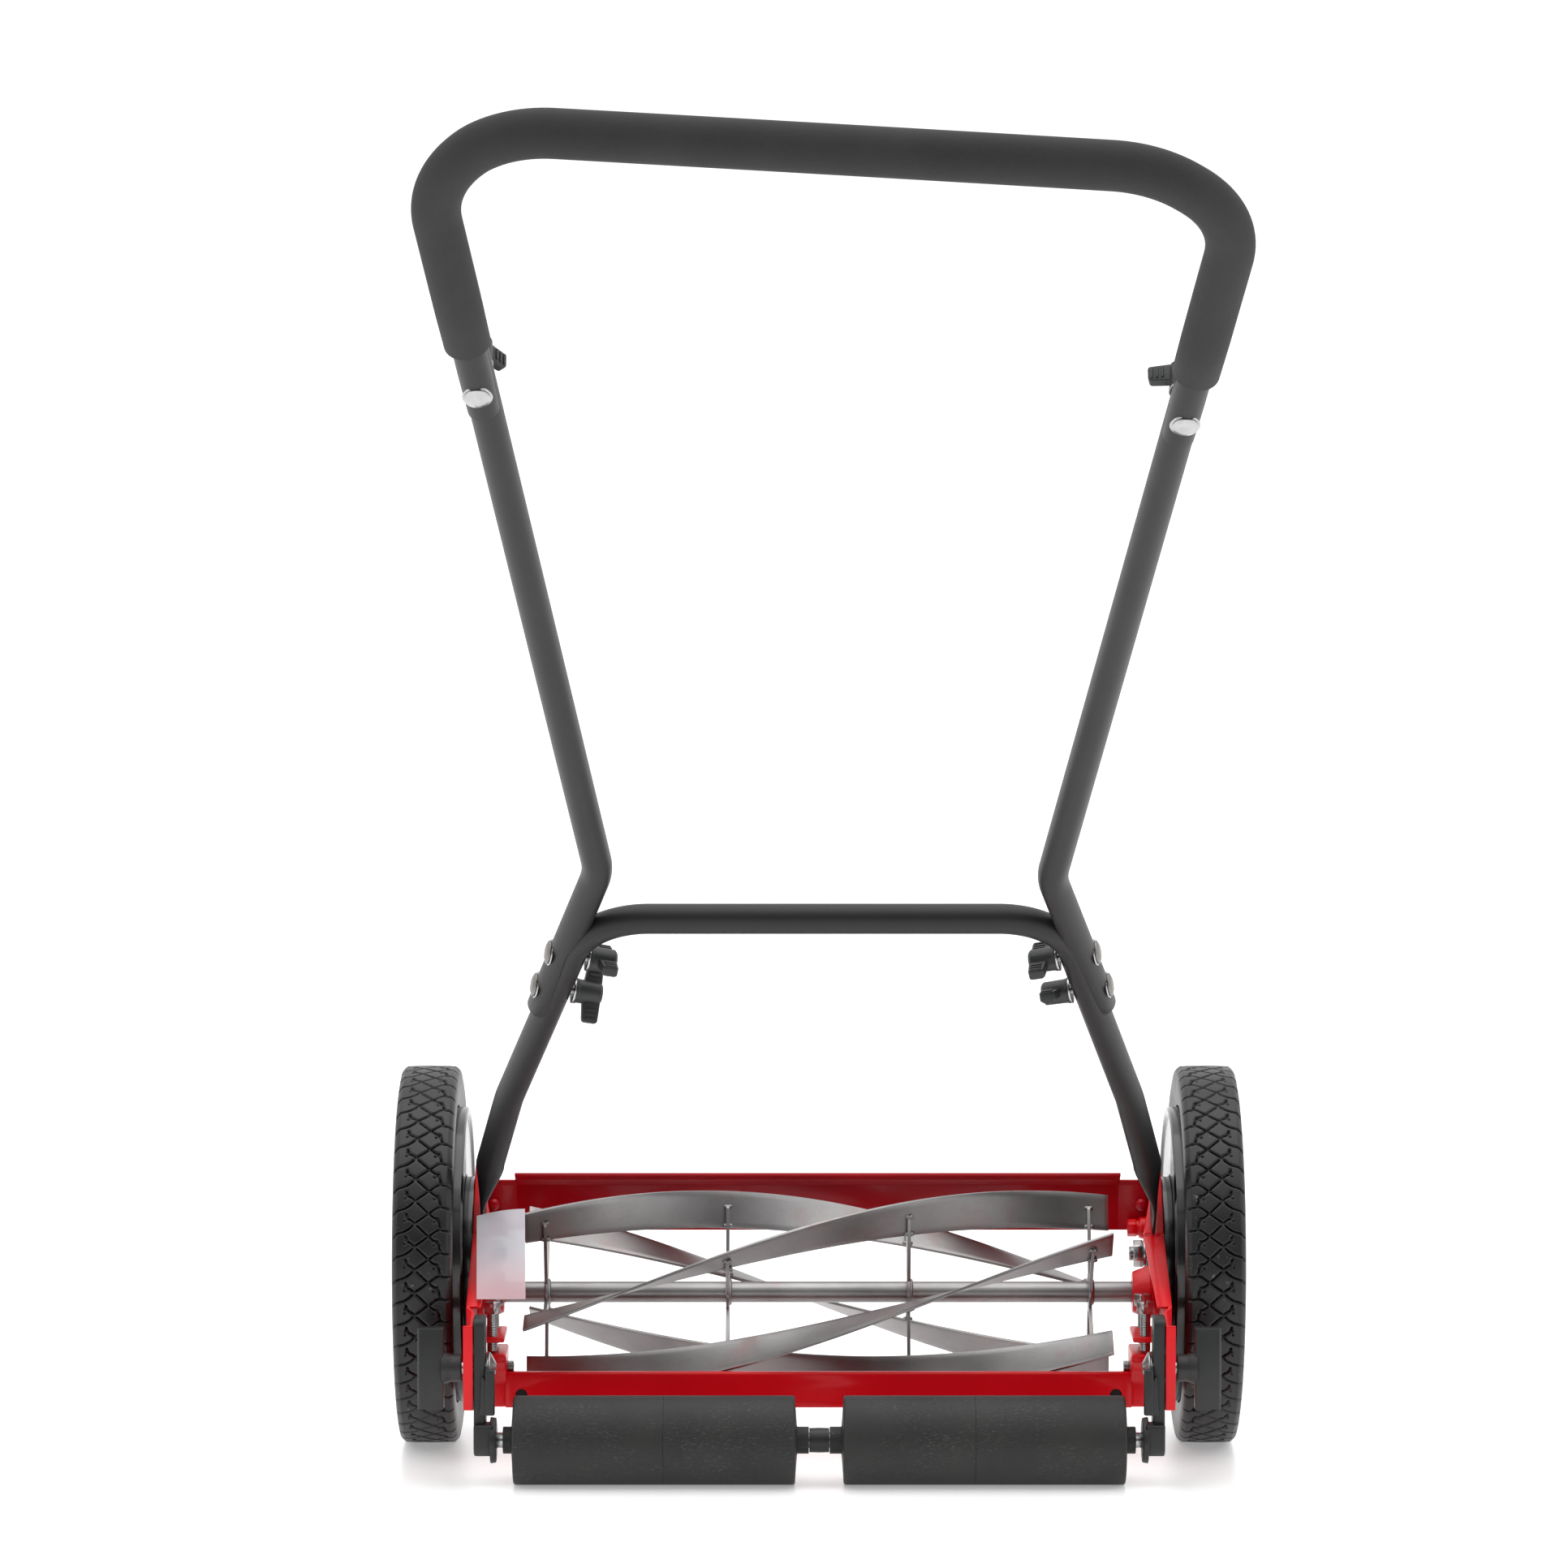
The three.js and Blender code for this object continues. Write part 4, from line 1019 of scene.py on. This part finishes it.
def makeClampKnob():
    stem = turned("stem", rounded([(0, 233.2, 0), (9.0, 233.2), (9.0, 240, 6), (11.2, 246.4), (0, 246.4, 0)],
                                  0.7, 4), 56, *clampSpot)
    paddle = slab("paddle", rounded([(245, -8), (260.5, -8), (262, -6), (262, 6), (260.5, 8), (245, 8)],
                                    0.8), "z", 49.4, 102.6, 0)
    edit(paddle, lambda: bpy.ops.mesh.bisect(plane_co=(0, 0, clampSpot[1]), plane_no=(0, 0, 1)))
    for vertex in paddle.data.vertices:
        vertex.co.y *= 1 - 0.32 * abs(vertex.co.z - clampSpot[1]) / 26.6
        vertex.co.y += clampSpot[0]
    soften(paddle, 1.2, 3, 55)
    bolt = turned("bolt", rounded([(0, 210.6, 0), (3.5, 210.8, 2), (10.3, 214.6, 1), (10.3, 215.6, 0.4),
                                   (9, 215.7, 0.2), (9, 216.8, 0.3), (4, 216.8, 0), (4, 236, 0),
                                   (0, 236, 0)], 0.5, 5), 56, *clampSpot)
    return joined("clampKnob", stem, paddle), bolt


def makeRollerAxle():
    profile = rounded([(0, -222, 0), (5, -222), (5, 222), (0, 222, 0)], 0.5)
    return turned("rollerAxle", profile, 40, rollerSize["y"], rollerSize["radius"])


def makeAxleSpacer():
    profile = rounded([(5.1, -6.5), (7.9, -6.5), (8.1, 0, 0), (7.9, 6.5), (5.1, 6.5)], 0.3)
    return turned("axleSpacer", profile, 56, rollerSize["y"], rollerSize["radius"])


def makeRoller(bushEnd, near, far):
    size = rollerSize
    inward = 1 if far > near else -1
    bore = 5.6
    radius, wall = size["radius"], size["wall"]
    profile = rounded([(bore, bushEnd), (8.8, bushEnd, 0.5), (8.8, near - inward * 1.4, 0.6),
                       (10.6, near - inward * 1.2, 0.8), (radius - 5, near - inward * 0.2, 2),
                       (radius - 0.1, near, 1.9), (radius, near + inward * 6, 8), (radius, far, 0.12),
                       (bore, far), (bore, far - inward * wall), (radius - wall, far - inward * wall),
                       (radius - wall, near + inward * wall), (bore, near + inward * wall)], 0.3, 4)
    return turned("roller", profile, 96, size["y"], size["radius"])


seatPair(makeBracket(), "plastic", "roller_bracket")
clampKnob, clampBolt = makeClampKnob()
clampBoltLeft = mirrored(clampBolt, "clampBoltLeft")
clampBolt.name = "clampBoltRight"
seatPair(clampKnob, "plastic", "clamp_knob")
for bolt, body in ((clampBolt, bodyOf("clamp_knob_right")), (clampBoltLeft, bodyOf("clamp_knob_left"))):
    seat(bolt, "zinc", body=body)
seat(makeRollerAxle(), "zinc", "roller_axle")
seat(makeAxleSpacer(), "plastic", body=bodyOf("roller_axle"))
seatPair(makeRoller(206.3, rollerSize["outer"], rollerSize["split"] + 0.06), "roller", "roller_outer")
seatPair(makeRoller(6.8, rollerSize["inner"], rollerSize["split"] - 0.06), "roller", "roller_inner")
print("roller made")

# handle

pitch = math.radians(40)
sidePitch = {-1: 41.25, 1: 38.7}
jointReach = 343.0
tubeRadius = 9.525
gripRadius = 13.6
nest = 5.0
legSlope = 0.261


def onPlane(pitchDegrees, x, reach, rise=0.0):
    slope = math.radians(pitchDegrees)
    past = reach - jointReach
    y = -jointReach * math.cos(pitch) - past * math.cos(slope) + rise * math.sin(slope)
    z = axleZ + jointReach * math.sin(pitch) + past * math.sin(slope) + rise * math.cos(slope)
    return Vector((x + 2.7 * min(1, max(0, (reach - 200) / 300)), y, z))


def lowerPlace(x, reach, rise=0.0):
    return onPlane(40, x, reach, rise)


def upperPlace(x, reach, rise=0.0):
    share = min(1, max(0, (x / 190 + 1) / 2))
    return onPlane(sidePitch[-1] * (1 - share) + sidePitch[1] * share, x, reach + 0.02 * x, rise)


def legX(reach):
    return 201.8 - legSlope * (reach - 197)


def flareX(reach):
    return 140 + 0.12 * (reach - 452.7)


def nestX(reach):
    return legX(reach) + nest * math.hypot(1, legSlope)


# Straight stretches between corners (x, reach, bend radius), with the bends as arcs.
def bentRun(corners, step=3.0):
    points = []
    for i, (x, reach, radius) in enumerate(corners):
        here = Vector((x, reach))
        if not radius:
            points.append(here)
            continue
        back = (Vector(corners[i - 1][:2]) - here).normalized()
        ahead = (Vector(corners[i + 1][:2]) - here).normalized()
        half = back.angle(ahead) / 2
        centre = here + (back + ahead).normalized() * radius / math.sin(half)
        start = here + back * radius / math.tan(half) - centre
        end = here + ahead * radius / math.tan(half) - centre
        turn = math.atan2(start.x * end.y - start.y * end.x, start.dot(end))
        count = max(2, math.ceil(abs(math.degrees(turn)) / step))
        for k in range(count + 1):
            a = turn * k / count
            points.append(centre + Vector((start.x * math.cos(a) - start.y * math.sin(a),
                                           start.x * math.sin(a) + start.y * math.cos(a))))
    return points


# Extra stations that round off the first end of a run.
def domed(places, radius, length, steps=7):
    first, second = places[0], places[1]
    along = (second - first).normalized()
    ends, sizes = [], []
    for k in range(steps):
        a = math.pi / 2 * k / steps
        ends.append(first + along * length * (1 - math.cos(a)))
        sizes.append(radius * max(0.12, math.sin(a)))
    return ends, sizes


legCorners = [(217.2, 116, 0), (201.8, 197, 120), (148, 403, 50)]
flatStations = [-13.6, -12.6, -11, -8, -4, 0, 12, 30, 50, 66, 70, 76, 82, 88, 94, 100, 106, 111]


def legPoints():
    half = [(x, r, b) for x, r, b in legCorners]
    return bentRun([(-x, r, b) for x, r, b in half] + half[::-1])


def makeLowerHandle():
    run = [lowerPlace(p.x, p.y) for p in legPoints()]
    left = [lowerPlace(-217.2, r) for r in flatStations]
    right = [lowerPlace(217.2, r) for r in reversed(flatStations)]
    places = left + run + right
    piece = tube("lowerHandle", places, [tubeRadius] * len(places), 40)
    for vertex in piece.data.vertices:
        y, z = vertex.co.y, vertex.co.z - axleZ
        reach = -y * math.cos(pitch) + z * math.sin(pitch)
        rise = y * math.sin(pitch) + z * math.cos(pitch)
        if reach > 115:
            continue
        side = 1 if vertex.co.x > 0 else -1
        swell = min(1, max(0, (reach - 70) / 46))
        swell = swell * swell * (3 - 2 * swell)
        middle = 224 + (217.2 - 224) * swell
        thickness = 1.6 + (tubeRadius - 1.6) * swell
        width = 14 + (tubeRadius - 14) * swell
        if reach < 0:
            width = 14 * math.sqrt(max(0.03, 1 - (reach / 13.9) ** 2))
        across = (abs(vertex.co.x) - 217.2) / tubeRadius
        if swell < 1:
            across = math.copysign(abs(across) ** (0.45 + 0.55 * swell), across)
        x = side * (middle + thickness * across)
        vertex.co = lowerPlace(x, reach, rise / tubeRadius * width)
    edit(piece, outward)
    return cutWith(piece, drill(5.6, -260, 260, 0, axleZ, 40))


def legTool(grow):
    run = [lowerPlace(p.x, p.y) for p in legPoints()]
    return tube("legTool", run, [tubeRadius + grow] * len(run), 48)


def makeMiddleTube(side):
    slope = sidePitch[side]
    corners = [(nestX(300), 300, 0), (140, 452.7, 60), (flareX(952), 952, 0)]
    run = [onPlane(slope, side * p.x, p.y) for p in bentRun(corners)]
    ends, sizes = domed(run, tubeRadius, 9)
    straight = [run[0].lerp(run[1], k / 6) for k in range(1, 6)]
    straight = [p for p in straight if (p - run[0]).length > 10]
    places = ends + straight + run[1:]
    radii = sizes + [tubeRadius] * (len(straight) + len(run) - 1)
    piece = tube("middleTube", places, radii, 44)
    return cutWith(piece, legTool(0.8))


topReach, topBend = 1137, 66
upperBoltReach = 926


def upperPlaces(start):
    right = [(flareX(topReach), topReach, topBend), (flareX(start), start, 0)]
    left = [(-x, r, b) for x, r, b in right][::-1]
    run = bentRun(left + right)
    spread = []
    for a, b in zip(run, run[1:]):  # long straight stretches get stations of their own
        count = max(1, int((b - a).length / 30))
        spread += [a.lerp(b, k / count) for k in range(count)]
    spread.append(run[-1])
    return [upperPlace(p.x, p.y, -nest) for p in spread]


def makeUpperHandle():
    run = upperPlaces(904)
    headEnds, headSizes = domed(run, tubeRadius, 3.0, 5)
    tailEnds, tailSizes = domed(run[::-1], tubeRadius, 3.0, 5)
    places = headEnds + run[1:-1] + tailEnds[::-1]
    radii = headSizes + [tubeRadius] * (len(run) - 2) + tailSizes[::-1]
    piece = tube("upperHandle", places, radii, 44)
    for side in (-1, 1):
        ends = [onPlane(sidePitch[side], side * flareX(r), r) for r in (780, 860, 953)]
        cutWith(piece, tube("armTool", ends, [tubeRadius + 0.35] * 3, 48))
    return piece


def makeGrip():
    run = upperPlaces(958)
    headEnds, headSizes = domed(run, gripRadius, 7, 7)
    tailEnds, tailSizes = domed(run[::-1], gripRadius, 7, 7)
    places = headEnds + run[1:-1] + tailEnds[::-1]
    radii = headSizes + [gripRadius] * (len(run) - 2) + tailSizes[::-1]
    return tube("grip", places, [max(r, tubeRadius - 0.4) for r in radii], 48)


# The lower handle wears the darker copy of the tube coat, which is painted shade.
seat(makeLowerHandle(), "paintedShadeLegCoat", "lower_handle", angle=50)
seat(makeMiddleTube(-1), "tubeCoat", "middle_tube_left", angle=40)
seat(makeMiddleTube(1), "tubeCoat", "middle_tube_right", angle=40)
seat(makeUpperHandle(), "tubeCoat", "upper_handle", angle=40)
seat(makeGrip(), "foam", "grip", angle=50)
print("handle tubes made")


# A frame on each joint: X points outwards along the bolt, Z stands along the wing of its knob.
def jointFrame(centre, outwards, upright, turn):
    outwards = outwards.normalized()
    upright = (upright - outwards * upright.dot(outwards)).normalized()
    third = upright.cross(outwards)
    wing = upright * math.cos(turn) + third * math.sin(turn)
    side = wing.cross(outwards)
    return Matrix.Translation(centre) @ Matrix((
        (outwards.x, side.x, wing.x, 0), (outwards.y, side.y, wing.y, 0),
        (outwards.z, side.z, wing.z, 0), (0, 0, 0, 1)))


wingTurn = {"lower_rear_left": 27, "lower_front_left": -35, "lower_rear_right": -50, "lower_front_right": -28,
            "upper_left": -42, "upper_right": -80}


def jointFrames():
    frames = {}
    for label, side in (("left", -1), ("right", 1)):
        for name, reach in (("lower_rear", 325), ("lower_front", 362)):
            centre = lowerPlace(side * legX(reach), reach)
            outwards = lowerPlace(side * (legX(reach) + 1), reach + legSlope) - centre
            upright = lowerPlace(side * legX(reach), reach, 1) - centre
            spot = name + "_" + label
            frames[spot] = jointFrame(centre, outwards, upright, -side * math.radians(wingTurn[spot]))
        x = side * flareX(upperBoltReach)
        centre = upperPlace(x, upperBoltReach)
        outwards = upperPlace(x, upperBoltReach, -1) - centre
        upright = upperPlace(x, upperBoltReach + 1) - centre
        spot = "upper_" + label
        frames[spot] = jointFrame(centre, outwards, upright, -side * math.radians(wingTurn[spot]))
    return frames


def makeCarriageBolt():
    head = rounded([(0, 16.6, 0), (4.6, 16.4, 3), (7.6, 15.1, 0.8), (7.6, 14.2, 0.3), (3, 14.2, 0),
                    (3, 9, 0), (0, 9, 0)], 0.3, 4)
    top = turned("head", head, 40, 0, 0)
    cup = turned("cup", rounded([(5.0, 14.4), (8.4, 13.9, 0.3), (8.8, 13.1, 0.3), (5.0, 13.4)], 0.2, 2), 48,
                 0, 0)
    washer = turned("washer", rounded([(3.1, -10.2), (8.4, -10.2), (8.4, -11.5), (3.1, -11.5)], 0.3, 2), 40,
                    0, 0)
    shank = turned("shank", [(0, -9)] + [(3, -9), (3, -22), (0, -22)], 24, 0, 0)
    return joined("carriageBolt", cup, washer, shank), top


def makeWingKnob():
    hub = turned("hub", rounded([(0, -29.2, 0), (5.5, -29.2, 1), (7.4, -27.6, 1.4), (7.7, -14, 3),
                                 (8.4, -11.7, 0.4), (0, -11.7, 0)], 0.6, 4), 48, 0, 0)
    wing = rounded([(-28.2, -19.4, 2), (-28.8, 0, 0), (-28.2, 19.4, 2), (-18.4, 19.4, 2.5), (-17.2, 8, 2),
                    (-14, 0, 0), (-17.2, -8, 2), (-18.4, -19.4, 2.5)], 1, 4)
    blade = slab("wing", wing, "y", -3.0, 3.0, 0.9, 3)
    edit(blade, outward)
    parts = [hub, blade]
    for z in (-17.2, -14.2, -11.2, 11.2, 14.2, 17.2):
        for face in (-1, 1):
            rib = slab("rib", rounded([(-27.2, z - 0.8), (-19.6, z - 0.8), (-19.6, z + 0.8),
                                       (-27.2, z + 0.8)], 0.7, 3), "y", min(face * 2.6, face * 3.8),
                       max(face * 2.6, face * 3.8), 0.5, 2)
            edit(rib, outward)
            parts.append(rib)
    return joined("wingKnob", *parts)


boltShape, domeShape = makeCarriageBolt()
knobShape = makeWingKnob()
for name, matrix in jointFrames().items():
    seat(copyOf(boltShape, "carriageBolt_" + name, matrix), "zinc", "carriage_bolt_" + name)
    dome = copyOf(domeShape, "boltDome_" + name, matrix)
    seat(dome, "zinc" if "upper" in name else "gear", body=bodyOf("carriage_bolt_" + name))
    seat(copyOf(knobShape, "wingKnob_" + name, matrix), "plastic", "wing_knob_" + name)
bpy.data.objects.remove(boltShape)
bpy.data.objects.remove(domeShape)
bpy.data.objects.remove(knobShape)
print("bolts and knobs made")

# blank tag at the rear end of the left side plate's rim

tagSize = {"width": 32.0, "right": -192.3, "rightTop": -195.2, "low": (-136.5, 118.0),
           "high": (-71.0, 167.3), "fold": 0.24}


# It rests on the rear end of the rim and leans against the handle leg.
def makeTag():
    size = tagSize
    (lowY, lowZ), (highY, highZ) = size["low"], size["high"]
    deselectAll()
    bpy.ops.mesh.primitive_grid_add(x_subdivisions=10, y_subdivisions=24, size=2)
    piece = bpy.context.object
    piece.name = "blankTag"
    for vertex in piece.data.vertices:
        across, up = (vertex.co.x + 1) / 2, (vertex.co.y + 1) / 2
        crease = 1.2 * math.exp(-((up - size["fold"]) / 0.06) ** 2)
        curl = 1.4 * math.sin(across * 2.6) * up
        right = size["right"] + (size["rightTop"] - size["right"]) * up
        vertex.co = (right - size["width"] * (1 - across), lowY + (highY - lowY) * up - crease,
                     lowZ + (highZ - lowZ) * up - 4 * (1 - across) * up - crease + curl)
    applyModifier(piece, "SOLIDIFY", thickness=0.3, offset=0)
    edit(piece, outward)
    return piece


seat(makeTag(), "film", body=bodyOf("side_plate_left"))
print("tag made")
